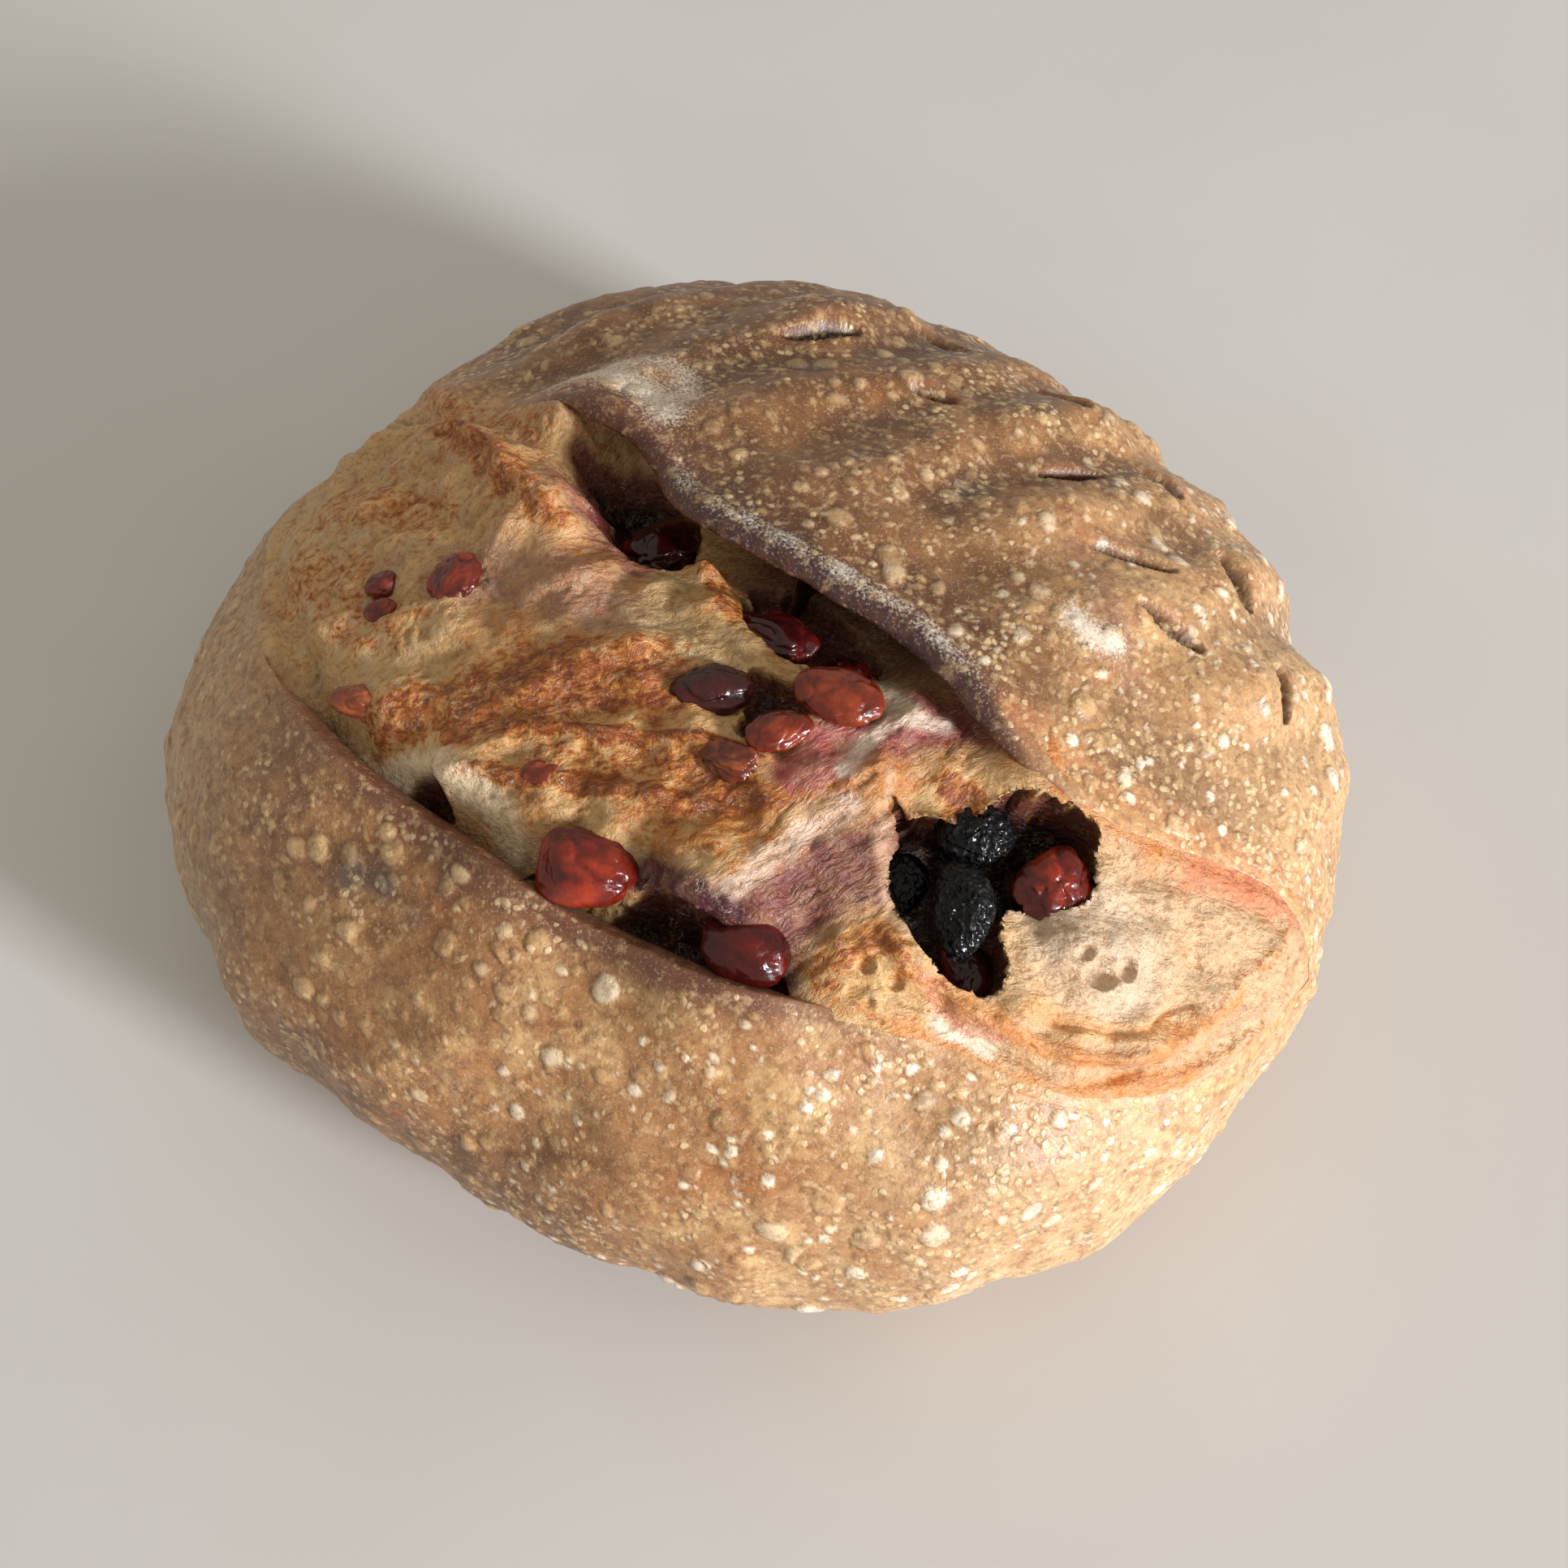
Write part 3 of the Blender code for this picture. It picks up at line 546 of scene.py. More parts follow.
def crust_looks(place, base, cover, tone, waves, cut_shade_share, fold, rim_gap, is_far):
    """Linear colour, gloss and flour of the crust, and how thickly small pale specks lie on it."""
    along, across = place[..., 0], place[..., 1]
    broad, fine = rough(base, 38, 2, 21), rough(base, 6, 3, 23)
    mottled = 0.8 + 0.6 * fine
    # Paler towards the right: partly the crust's own colour, partly painted light on the side that faces the
    # light
    right = smooth_step(along, 34, 96)
    # A grey-beige tone on the near side's left, painted shade of the side turned from the light; the far
    # crust is browner at the left, partly painted shade, and darker between its folds, painted shade in the
    # valleys
    shaded_left_grey = np.clip(smooth_step(-along, 30, 80) * (1 - is_far) + 0.6 * smooth_step(-across, 96, 140), 0, 1)
    left_far = is_far * (1 - smooth_step(along, 2, 50))
    tint = layers(
        np.broadcast_to(paint(176, 126, 80), place.shape[:-1] + (3,)),
        ((126, 82, 48), 0.9 * smooth_step(broad + 0.8 * fine, 0, 0.8)),
        ((206, 164, 112), smooth_step(-broad + 0.7 * fine, 0.1, 0.8)),
        ((176, 106, 56), 0.5 * smooth_step(noise(base, 15, 25), 0.1, 0.7)),
        # Painted shade: the grey-beige of the near side's left, turned from the light
        ((196, 168, 134), shaded_left_grey * (0.6 + 0.35 * fine)),
        ((222, 186, 142), right * (0.6 + 0.4 * fine)),
        # Browner on the left of the far crust: partly its own colour, partly painted shade
        ((118, 74, 38), 0.8 * left_far * mottled),
        # Paler on the right of the far crust, partly painted light
        ((198, 154, 104), 0.6 * is_far * smooth_step(along, 8, 40) * mottled),
        # Darker between the folds of the far crust, less so on the lit right: painted shade in the valleys
        ((92, 58, 34), 0.75 * is_far * (1 - 0.7 * right) * smooth_step(-waves + 0.6 * fine, 0, 1.3)),
    )
    # Towards the tips of the slash the crust passes into the torn crumb without an edge
    merge = np.exp(-rim_gap / 4.5) * is_far * (1 - smooth_step(along, -52, -40))
    merge = merge + np.exp(-rim_gap / 3.5) * smooth_step(along, 50, 62)
    stain = np.exp(-rim_gap / 1.3) * stretch(along, -60, -25, 34, 56)
    tint = layers(tint, ((206, 154, 98), 0.8 * merge * mottled), ((108, 66, 54), 0.7 * stain))
    for points, width, colour, strength, far in CRUST_STROKES:
        share = strength * stroke(place, points, width) * (is_far if far else 1 - is_far)
        tint = layers(tint, (colour, share * (0.85 + 0.5 * fine)))
    # Blisters, each a paler cap inside a darker ring, the caps whiter towards the lit right, partly painted
    # highlight; blue-grey spots; and the leaf cuts, darkened inside by painted shade
    top = smooth_step(cover, 0.1, 0.6)
    # Whiter caps towards the lit right: partly their own colour, partly painted highlight
    white_caps_and_highlight = top * smooth_step(tone, 0.5, 0.75) * smooth_step(along - 0.2 * across, -20, 60)
    ink = sum(bump(round_gap(place, *spot), 0, reach) for *spot, reach in INK_SPOTS)
    tint = layers(
        tint,
        ((104, 64, 36), 0.5 * bump(cover, 0.12, 0.16) * (cover > 0)),
        ((224, 188, 134), top * (0.3 + 0.45 * tone)),
        ((250, 238, 216), 0.85 * white_caps_and_highlight),
        ((92, 90, 94), 0.6 * np.clip(ink, 0, 1) * mottled),
        ((180, 124, 90), 0.5 * fold),
        # Dark inside the leaf cuts: painted shade
        ((58, 28, 20), 0.95 * cut_shade_share),
    )
    patches = sum(strength * stroke(place, points, width) for points, width, strength in FLOUR_STROKES)
    edge = bump(rim_gap, 0, 0.9) * is_far * stretch(along, -30, -6, 26, 40)
    gloss = np.clip(0.3 + 0.5 * top + 0.4 * white_caps_and_highlight - 0.9 * patches - 0.3 * shaded_left_grey, 0, 1)
    # Pale specks thicker on the lit right and thinner on the shaded left, partly painted light
    specks = 0.36 + 0.3 * broad + 0.6 * noise(base, 9, 27) + 0.35 * right - 0.2 * shaded_left_grey
    return tint, {
        "gloss": gloss,
        "flour": np.clip(patches + 0.5 * edge * (0.9 + fine), 0, 1),
        "specks": np.clip(specks, 0, 1) * (1 - np.clip(patches, 0, 1)),
    }


def rim_rings(lip, away, ear, near, flush, share):
    """Places and heights over the lip of the rings that make its rim, torn a little along its edge."""
    sections = np.array([EAR_SECTION, NEAR_SECTION, FLUSH_SECTION])
    offset, height = np.einsum("sc,sra->arc", np.stack([ear, near, flush]), sections)
    ring = np.arange(len(EAR_SECTION))[:, None]
    travelled = np.cumsum(np.linalg.norm(np.roll(lip, -1, axis=0) - lip, axis=1))[:, None]
    ragged = noise(travelled, 5.5, 51) + 0.5 * noise(travelled, 2.1, 52)
    thick = 1 + 0.25 * noise(travelled, 9, 53)
    at_rim = bump(ring, len(ring) - 6, 4)
    offset = (offset + at_rim * ragged * (0.55 * ear + 0.3 * near + 0.5 * flush)) * share + 0.3 * (1 - share)
    height = height * share * thick - 0.3 * (1 - share) * (1 - ring / len(ring))
    return lip + away * offset[..., None], height


def crust_grid():
    """Points, colours and other looks of the crust, as rings from the middle of the slash to the foot."""
    lip, away, centre, foot = lip_loop()
    along = lip[:, 0]
    is_far = (np.arange(len(lip)) > LIP_COLUMNS).astype(float)
    ear = stretch(along, *EAR_GAP) * is_far
    near = stretch(along, *NEAR_GAP) * (1 - is_far)
    share = openness(lip)
    rim, rim_height = rim_rings(lip, away, ear, near, 1 - ear - near, share)
    rim_height = rim_height + crust_relief(lip)
    inwards = np.linspace(0, 1, BED_RINGS + 1)[:-1, None]
    bed = centre + (rim[0] - centre) * inwards[..., None]
    bed_height = -BED_DEPTH * share * (1 - inwards) + rim_height[0] * inwards
    crust = rim[-1] + (foot - rim[-1]) * np.linspace(0, 1, CRUST_RINGS + 1)[1:, None, None] ** 1.2
    place = np.concatenate([bed, rim, crust])
    inner = len(bed) + len(rim)
    rim_gap = np.linalg.norm(place - rim[-1], axis=-1)
    rim_gap[:inner] = 0
    base = bare_dome(place[..., 0], place[..., 1])
    far_side = np.broadcast_to(is_far, place.shape[:-1])
    # Blisters of two sizes, thickest on the far crust and on the middle of the near side
    reach = np.hypot(place[..., 0], place[..., 1])
    crowded = 0.36 + 0.35 * noise(base, 20, 31) + 0.22 * bump(place[..., 0], 26, 50) + 0.2 * far_side
    amount = np.clip(crowded, 0, 1) * (1 - smooth_step(reach, FOOT_REACH - 34, FOOT_REACH - 12))
    bent = teased(base, 2.8, 0.6, 36)
    small = bubbles(bent + 40, 2.3, 0.5, 1.25, 1.2 * amount, 71)
    large = bubbles(bent, 4.4, 0.8, 2.5, 1.1 * amount, 61)
    blister, cover, tone = (np.where(large[1] > 0, big, little) for big, little in zip(large, small))
    clear_of_rim = smooth_step(rim_gap, 0, 1.2)
    groove, fold, cut_shade_share = cut_grooves(place)
    detail = 0.26 * blister + 0.2 * rough(base, 9, 3, 33)
    detail = detail * clear_of_rim * (1 - 0.8 * fold) - groove + 0.5 * fold
    detail = detail * (1 - smooth_step(reach, FOOT_REACH - 10, FOOT_REACH - 2))
    relief = crust_relief(crust) + detail[inner:]
    grid = lifted(place, np.concatenate([bed_height, rim_height, relief]))
    grid[-1, :, 2] = 0
    grid[..., 2] = np.maximum(grid[..., 2], 0)
    tint, looks = crust_looks(
        place, base, cover * clear_of_rim, tone, crust_waves(place), cut_shade_share, fold, rim_gap, far_side
    )
    # Inside of the lips: brown on the near one, red-brown on the far one, plum on the ear's front face;
    # darker deep in the slash below the near lip, painted shade
    ring = np.arange(inner)[:, None] - len(bed)
    wall = 1 - smooth_step(ring, len(rim) - 6, len(rim) - 3)
    face = stretch(ring, EAR_FACE[0] - 3, EAR_FACE[0], EAR_FACE[1], EAR_FACE[1] + 2)
    tint[:inner] = layers(
        tint[:inner],
        ((118, 74, 54), 0.8 * wall * near),
        # Painted shade deep in the slash below the near lip
        ((64, 30, 26), 0.8 * near * (1 - smooth_step(ring, 3, 7))),
        ((86, 44, 36), 0.9 * wall * ear),
        ((66, 40, 44), 0.9 * face * ear * stretch(along, -22, -6, 34, 48)),
    )
    looks["gloss"][:inner] = np.maximum(looks["gloss"][:inner], 0.5 * wall)
    for look in ("flour", "specks"):
        looks[look][:inner] *= smooth_step(ring, EAR_FACE[1] - 2, EAR_FACE[1] + 2)
    return grid, tint, looks


def surface_normals(grid):
    """Normals of a grid of points whose columns run round a loop, from the slopes along both ways."""
    normal = np.cross(np.gradient(grid, axis=0), np.roll(grid, -1, axis=1) - np.roll(grid, 1, axis=1))
    return normal / np.maximum(np.linalg.norm(normal, axis=-1, keepdims=True), 1e-9)


def grid_faces(rings, columns, loop_rings=False, loop_columns=False):
    """Faces of a grid of rings by columns, numbered ring by ring, closed into a tube where asked."""
    ring = np.arange(rings - (not loop_rings))[:, None]
    column = np.arange(columns - (not loop_columns))[None]
    ring_after, column_after = (ring + 1) % rings, (column + 1) % columns
    corners = ((ring, column), (ring_after, column), (ring_after, column_after), (ring, column_after))
    return np.stack([(first * columns + second).ravel() for first, second in corners], axis=-1).tolist()


def fan(edge, tip):
    """Triangles from each step of an edge to one point."""
    edge = list(edge)
    return [(start, end, tip) for start, end in zip(edge, edge[1:])]


def solid_mesh(name, points, faces, tint, looks, material, normals=None):
    """A piece from points in millimetres, with its colour and its other looks kept on its vertices."""
    mesh = bpy.data.meshes.new(name)
    mesh.from_pydata(np.asarray(points) * MM, [], faces)
    mesh.shade_smooth()
    store = mesh.color_attributes.new("tint", "FLOAT_COLOR", "POINT")
    store.data.foreach_set("color", np.hstack([tint, np.ones((len(tint), 1))]).astype(np.float32).ravel())
    for look, values in looks.items():
        store = mesh.attributes.new(look, "FLOAT", "POINT")
        store.data.foreach_set("value", np.asarray(values, np.float32))
    if normals is not None:
        mesh.normals_split_custom_set_from_vertices(normals)
    mesh.materials.append(material)
    return placed(name, mesh)


def placed(name, data):
    """A new object in the scene."""
    made = bpy.data.objects.new(name, data)
    bpy.context.scene.collection.objects.link(made)
    return made


def crust_wedge(name, grid, tint, looks, normals, columns, material):
    """A part of the crust between two of its columns.

    It is closed by the flat foot and by a cone from its edge to a point inside the loaf.
    """
    rings, count = len(grid), len(columns)
    foot_middle, apex = rings * count, rings * count + 1
    last = (rings - 1) * count
    edge = [*range(count), *range(2 * count - 1, rings * count, count), foot_middle, *range(last, -1, -count)]
    foot = range(rings * count - 1, last - 1, -1)
    faces = grid_faces(rings, count) + fan(edge, apex) + fan(foot, foot_middle)
    return solid_mesh(
        name,
        np.vstack([grid[:, columns].reshape(-1, 3), [[0, 0, 0], [0, 0, 30]]]),
        faces,
        np.vstack([tint[:, columns].reshape(-1, 3), tint[-1, :2]]),
        {look: np.append(values[:, columns].ravel(), [0, 0]) for look, values in looks.items()},
        material,
        np.vstack([normals[:, columns].reshape(-1, 3), [[0, 0, -1], [0, 0, 1]]]),
    )


def make_crust(material):
    """The near and the far side of the crust, each in a left and a right part."""
    grid, tint, looks = crust_grid()
    normals = surface_normals(grid)
    half = LIP_COLUMNS // 2
    parts = []
    for part, name in enumerate(("near_crust_left", "near_crust_right", "far_crust_right", "far_crust_left")):
        columns = np.arange(part * half, (part + 1) * half + 1) % (4 * half)
        parts.append(crust_wedge(name, grid, tint, looks, normals, columns, material))
    return parts


# Hollows torn in the crumb: depth, width of the edge band, reach of the wall under it, outline on the map
CRUMB_HOLLOWS = {
    "by_berries": (12, 3.4, 2.2, (
        (32, -20), (35, -24), (37, -29), (41, -33), (48, -36.5), (56, -36), (57, -31), (53.5, -27), (53, -24),
        (57, -21.5), (61, -16), (57, -8), (50, -8.5), (45, -11), (42, -17), (37, -19.5),
    )),
    "under_ear": (9, 6.5, 0.3, (
        (-40, 10), (-34, 16), (-24, 18), (-14, 9), (-12, -1), (-16, -5), (-26, -3), (-34, 3),
    )),
    "recess_under_ear": (3.6, 2.4, 0.4, (
        (-2, 2), (3, 6), (9, 6), (15, 4), (20, 2), (21, -3), (16, -7), (10, -9.5), (3, -7.5),
    )),
    "by_dark_fruit": (6, 2.4, 0.6, ((8, -14), (15, -12), (18, -17), (15, -23), (11, -24), (10, -19))),
    "by_near_lip": (6, 3, 1, ((8, -60), (11, -52), (20, -49), (31, -49), (36, -52), (30, -56), (18, -60))),
    "left": (5, 2.2, 0.6, ((-32, -54), (-29, -48.5), (-25, -47.5), (-22, -53), (-26, -56))),
}
TERRACE = (
    (-80, 23), (-70, 15), (-60, 7.5), (-47, 1), (-38, -4), (-31, -5), (-30, -2), (-36, 4), (-42, 11),
    (-46, 15), (-58, 18), (-72, 25),
)
TERRACE_HEIGHT = 2.4
WEB = ((29, -6), (28, -14), (31, -21), (35, -28), (38, -36), (42, -42))
# Small round pits: along, across, reach, depth
PITS = (
    (67, -24, 2.3, 3), (69.5, -21.5, 1.8, 2.4), (63.5, -23.5, 1.1, 1.4),
    (41.5, -41.5, 1.2, 1.6), (45.5, -41, 1.3, 1.6), (44.5, -45.5, 0.9, 1.2),
)
LAYER_CRACKS = (((60, -40.5), (69, -39.5), (75, -37.5), (82, -30)), ((66, -33), (76, -27), (82, -18)))

# Toasted parts of the crumb: points of a stroke on the map, half width, strength, how high it stands
TOASTED_STROKES = (
    (((-20, -33), (-12, -26), (-3, -23)), 7, 0.9, 0.7),
    (((-18, -37), (-6, -35), (4, -31), (12, -27), (17, -25)), 1, 1.1, 1.2),
    (((-24, -47), (-12, -44.5), (0, -41.5), (11, -38), (20, -31)), 1.8, 1, 1.1),
    (((-10, -41), (0, -38), (10, -33), (20, -30)), 3.4, 0.6, 0),
    (((12, -34), (19, -30), (23, -27)), 2.2, 0.9, 0.4),
    (((9, -42), (17, -38), (24, -38)), 4.5, 0.5, 0),
    (((-34, -42), (-28, -37), (-25, -40)), 4, 0.8, 0),
    (((-69, -11), (-58, -10), (-48, -12)), 4.5, 0.5, 0.4),
    (((-66, -27), (-57, -24), (-52, -28)), 4.5, 0.5, 0.4),
    (((-46, -30), (-40, -27)), 4, 0.45, 0),
    (((-60, 6.5), (-46, 0.5), (-34, -4), (-28, -5)), 2.6, 0.75, 1),
    (((-76, 22), (-62, 14), (-48, 9)), 4.5, 0.5, 0),
    (((-14, 2), (-7, 1), (0, -7)), 2.2, 0.9, 0.6),
    (((38, -14), (42, -15), (41, -19)), 1.8, 0.9, 0),
    (((38, -46), (38, -40), (42, -37)), 2.4, 0.8, 0.8),
    (((40, -36), (47, -38.5), (56, -38)), 1.2, 0.6, 0.7),
    (((42, -5), (52, -7), (66, -5), (80, 1), (92, 8)), 1.5, 0.4, 0.9),
    (((54, -39), (67, -36.5), (78, -29), (85, -16), (90, 2)), 1.1, 0.3, 1),
    (((60, -37), (72, -34), (82, -26), (88, -12)), 0.8, 0.25, 0.8),
    (((44, -46.5), (66, -43.5), (78, -37), (88, -27), (95, -12)), 1.3, 0.35, 1.1),
)
# Other colours of the crumb: points of a stroke on the map, half width, sRGB colour, strength
CRUMB_STAINS = (
    (((22, -25), (24, -15), (30, -6)), 3.6, (176, 88, 88), 0.85),
    (((29, -12), (34, -5), (40, -3)), 3.4, (150, 74, 74), 0.9),
    (((26, -21), (27, -12), (33, -6)), 1, (244, 222, 204), 0.85),
    (((29, -45), (31, -36), (36, -29)), 5, (124, 66, 60), 0.95),
    (((23, -45), (25, -36), (29, -25)), 1.3, (236, 206, 184), 0.7),
    (((10, -50), (20, -48), (33, -50)), 2.8, (84, 34, 44), 0.95),
    (((-34, 2), (-26, -1), (-16, -5)), 2.8, (158, 96, 80), 0.85),
    (((-34, -17), (-24, -14), (-12, -15)), 4.5, (168, 124, 104), 0.7),
    (((-9, -7), (-6, -14), (4, -14)), 3.5, (180, 156, 112), 0.6),
    (((18, -3), (22, -5), (27, -8)), 2.2, (222, 202, 174), 0.85),
    (((60, -21), (66, -19), (71, -24)), 6, (214, 190, 162), 0.8),
    (((54, -42), (60, -41)), 1.8, (250, 236, 210), 0.9),
    (((48, -38.5), (56, -40), (62, -38)), 1.2, (206, 120, 90), 0.7),
    (((44, -4), (56, -5), (70, -2), (86, 6)), 2.8, (214, 138, 76), 0.85),
    (((72, -2), (84, 4), (92, 9)), 2.6, (204, 112, 84), 0.5),
    (((54, -38), (68, -36), (80, -28), (88, -12)), 1.3, (214, 142, 78), 0.85),
    (((62, -33), (72, -30), (80, -22)), 1.6, (222, 166, 104), 0.7),
    (((50, -46), (66, -43), (78, -36.5), (88, -26)), 1.8, (214, 138, 74), 0.85),
    (((31, -18), (34, -25), (38, -31), (43, -35)), 0.7, (222, 180, 146), 0.7),
    (((-34, -50), (-26, -46.5), (-16, -50), (-10, -55)), 2.4, (238, 218, 184), 0.8),
)


def crumb_looks(place, strands, pores, hollow, near_gap, far_gap):
    """Linear colour of the crumb, and how toasted and how wet it is at each place."""
    along = place[..., 0]
    fine, broad = rough(place, 4, 3, 121), rough(place, 20, 2, 123)
    right = smooth_step(along, 50, 66)
    tint = layers(
        np.broadcast_to(paint(210, 168, 112), place.shape[:-1] + (3,)),
        ((184, 126, 68), smooth_step(broad + 0.7 * fine, -0.2, 0.8)),
        ((198, 172, 140), 0.5 * (1 - smooth_step(along, -46, -16)) * smooth_step(fine, -0.3, 0.4)),
        ((210, 174, 134), 0.85 * right),
        ((190, 138, 90), 0.6 * right * smooth_step(fine + 0.5 * broad, 0, 0.6)),
    )
    loose = teased(place, 4.5, 1, 125)
    toast = 0.4 * smooth_step(broad + fine, -0.6, 0.8) * (1 - 0.5 * right) - 0.1
    for points, width, strength, _ in TOASTED_STROKES:
        toast = np.maximum(toast, strength * full_stroke(loose, points, width) * (0.9 + 0.3 * fine))
    for points, width, colour, strength in CRUMB_STAINS:
        share = strength * full_stroke(loose, points, width)
        tint = layers(tint, (colour, share * (0.95 + 0.3 * fine)))
        toast = toast * (1 - np.clip(share, 0, 1))
    # Painted shade between the strands and in the pores; darker under the near lip and under the ear, painted
    # shade, and under the ear also stained where it touches the fruit; red-brown on the walls of the hollows
    # and near black deep inside them, painted shade, and wet inside the hollows
    under = np.exp(-far_gap / 3.2) * stretch(along, *EAR_GAP) * smooth_step(along, -12, 0)
    under = under * (1 - 0.7 * smooth_step(along, 24, 34))
    # Painted shade between the strands and in the pores
    shade = 0.65 * (1 - smooth_step(strands, -0.2, 0.45)) * (1 - 0.6 * right)
    tint = tint * (1 - shade[..., None] * (0.4, 0.54, 0.66)) * (1 - pores[..., None] * (0.4, 0.5, 0.56))
    tint = layers(
        tint,
        # Painted shade under the near lip, and under the ear, where it is also the fruit's stain
        ((104, 56, 40), 0.6 * np.exp(-near_gap / 1.6) * stretch(along, *NEAR_GAP)),
        ((96, 44, 42), 0.8 * under),
        ((104, 42, 40), 0.9 * smooth_step(hollow, 0.08, 0.3)),
        # Near black deep in the hollows: painted shade
        ((30, 9, 11), 0.95 * smooth_step(hollow, 0.4, 0.85)),
    )
    toast = toast * (1 - smooth_step(hollow, 0.05, 0.25)) * (1 - under)
    wet = np.clip(0.45 + 0.6 * noise(place, 3.5, 131) + 0.5 * hollow - 0.3 * right, 0, 1)
    return tint, {"toast": np.clip(toast, 0, 1.2), "wet": wet, "along": along}


# How the crumb was pulled: stretch along the slash, slant on the map, length and width of its strands
STRAND_REGIONS = (
    ((-999, -998, -32, -20), 58, 3, 2), ((-32, -20, 17, 24), 40, 4.2, 1.9),
    ((17, 24, 38, 46), 66, 8, 1.6), ((38, 46, 998, 999), 24, 4.5, 2.1),
)


def fibre_relief(bent):
    """Teased strands of the torn crumb, from about -0.5 in the hollows between them to 1 on their crests.

    Each is a fold of noise drawn out along its part's own slant, with finer folds over it.
    """
    strands = 0
    for number, (reach, slant, length, width) in enumerate(STRAND_REGIONS):
        for share, finer, seed in ((0.7, 1, 151), (0.3, 0.45, 161)):
            lengthwise, crosswise = turned(bent, 0, 0, slant + 12 * (finer < 1))
            drawn = np.stack([lengthwise / length, crosswise / width], axis=-1) / finer
            folds = 1 - 2 * np.abs(noise(drawn, 1, seed + number))
            strands = strands + share * stretch(bent[..., 0], *reach) * folds
    return strands


def crumb_height(place, near_gap, far_gap):
    """Broad height of the crumb over the dome.

    It is the form of the part's source, brought up flush to the crust where a lip doesn't gape, with the
    terrace along the far lip, the web beside the berries and the small domes.
    """
    along, across = place[..., 0], place[..., 1]
    torn = inside_depth(place, TERRACE)[0] + 0.8 * noise(place, 4, 145)
    height = crumb_relief(place) + TERRACE_HEIGHT * smooth_step(torn, -1.4, 1.2)
    height = height - 2.4 * band(place, -20, -3, 9, 6, -16)
    height = height + 5.2 * stretch(along, 19, 28, 46, 54) * bump(far_gap, 0, 8.5)
    flush = np.maximum(
        (1 - stretch(along, *NEAR_GAP)) * (1 - smooth_step(near_gap, 0.6, 6)),
        (1 - stretch(along, *EAR_GAP)) * (1 - smooth_step(far_gap, 0.6, 7)),
    )
    height = height + flush * (crust_relief(place) - 0.15 - height)
    height = height + 1.8 * cap(np.hypot(along - 66, (across + 21) * 1.1), 9)
    height = height + 2.6 * cap(np.hypot((along - 19) / 1.25, across + 42.5), 8.5)
    return height + 1.8 * np.exp(-nearest(place, spline(WEB, STROKE_POINTS))[0] / 4)


def crumb_detail(place, bent, strands):
    """Height of strands, lines, pits and pores over the broad form, and how far a place lies in a pore."""
    lumps = smooth_step(noise(place, 12, 171), -0.6, 0.5)
    teased_less = 1 - 0.5 * smooth_step(place[..., 0], 50, 62)
    detail = 0.68 * (strands - 0.4) * (0.4 + 0.6 * lumps) * teased_less + 0.28 * rough(bent, 3.2, 3, 172)
    for points, width, _, size in TOASTED_STROKES:
        detail = detail + size * stroke(place, points, width)
    for points in LAYER_CRACKS:
        detail = detail - 1.5 * stroke(teased(place, 5, 0.6, 176), points, 0.55)
    pore_share = 0.7 * smooth_step(noise(place, 13, 177), 0.25, 0.7) + band(place, 78, -9, 7, 4, 30)
    pores = smooth_step(0.36 - cell_walls(bent, 2.6, 175)[0], 0, 0.25) * np.clip(pore_share, 0, 1)
    for along, across, reach, depth in PITS:
        detail = detail - depth * cap(round_gap(place, along, across), reach) ** 0.5
    return detail - 0.9 * pores + 5.5 * bump(round_gap(place, -8, 1), 0, 3.2), pores


def crumb_grid():
    """Points, colours and other looks of the crumb, as rows from under the near lip to under the far one."""
    near, far = lip_line(NEAR_LIP, CRUMB_COLUMNS), lip_line(FAR_LIP, CRUMB_COLUMNS)
    reach_near = 0.25 + 1.1 * openness(near)
    reach_far = 0.25 + openness(far) * (1.2 + 8 * stretch(far[:, 0], *EAR_GAP))
    start = near + even_out(outward(near, -1), 30) * reach_near[:, None]
    end = far + even_out(outward(far, 1), 30) * reach_far[:, None]
    row = np.linspace(0, 1, CRUMB_ROWS)[:, None, None]
    place = start * (1 - row) + end * row
    # Past a lip the form goes on as it is at the lip
    width = np.linalg.norm(end - start, axis=-1)
    held = np.clip(row[..., 0], reach_near / width, 1 - reach_far / width)[..., None]
    held = start * (1 - held) + end * held
    near_gap, far_gap = lip_gaps(held)
    bent = teased(teased(place, 9, 2, 141), 2.4, 0.5, 143)
    strands = fibre_relief(bent)
    detail, pores = crumb_detail(place, bent, strands)
    fade = smooth_step(np.minimum(near_gap, far_gap), 0, 3) * openness(held)
    height = crumb_height(held, near_gap, far_gap) + detail * fade
    # Hollows, whose walls run back under their edges
    hollow, sink, shift = 0, 0, 0
    torn = 1 * noise(place, 3.2, 181) + 0.6 * noise(place, 1.3, 182)
    for depth, edge_band, undercut, corners in CRUMB_HOLLOWS.values():
        inside, way = inside_depth(place, corners)
        share = smooth_step(inside + torn, -0.3, edge_band)
        sink = np.maximum(sink, depth * share)
        hollow = np.maximum(hollow, share * min(1, depth / 8))
        shift = shift + way * (undercut * bump(inside + torn, 0.45 * edge_band, 0.4 * edge_band))[..., None]
    height = np.maximum(height - sink, -CRUMB_BASE + 1.5)
    tint, looks = crumb_looks(place, strands, pores, hollow, near_gap, far_gap)
    grid = lifted(place + shift * openness(place)[..., None], height)
    ends = np.stack([start, end])
    return grid, tint, looks, lifted(ends, -CRUMB_BASE * openness(ends) - 0.8)


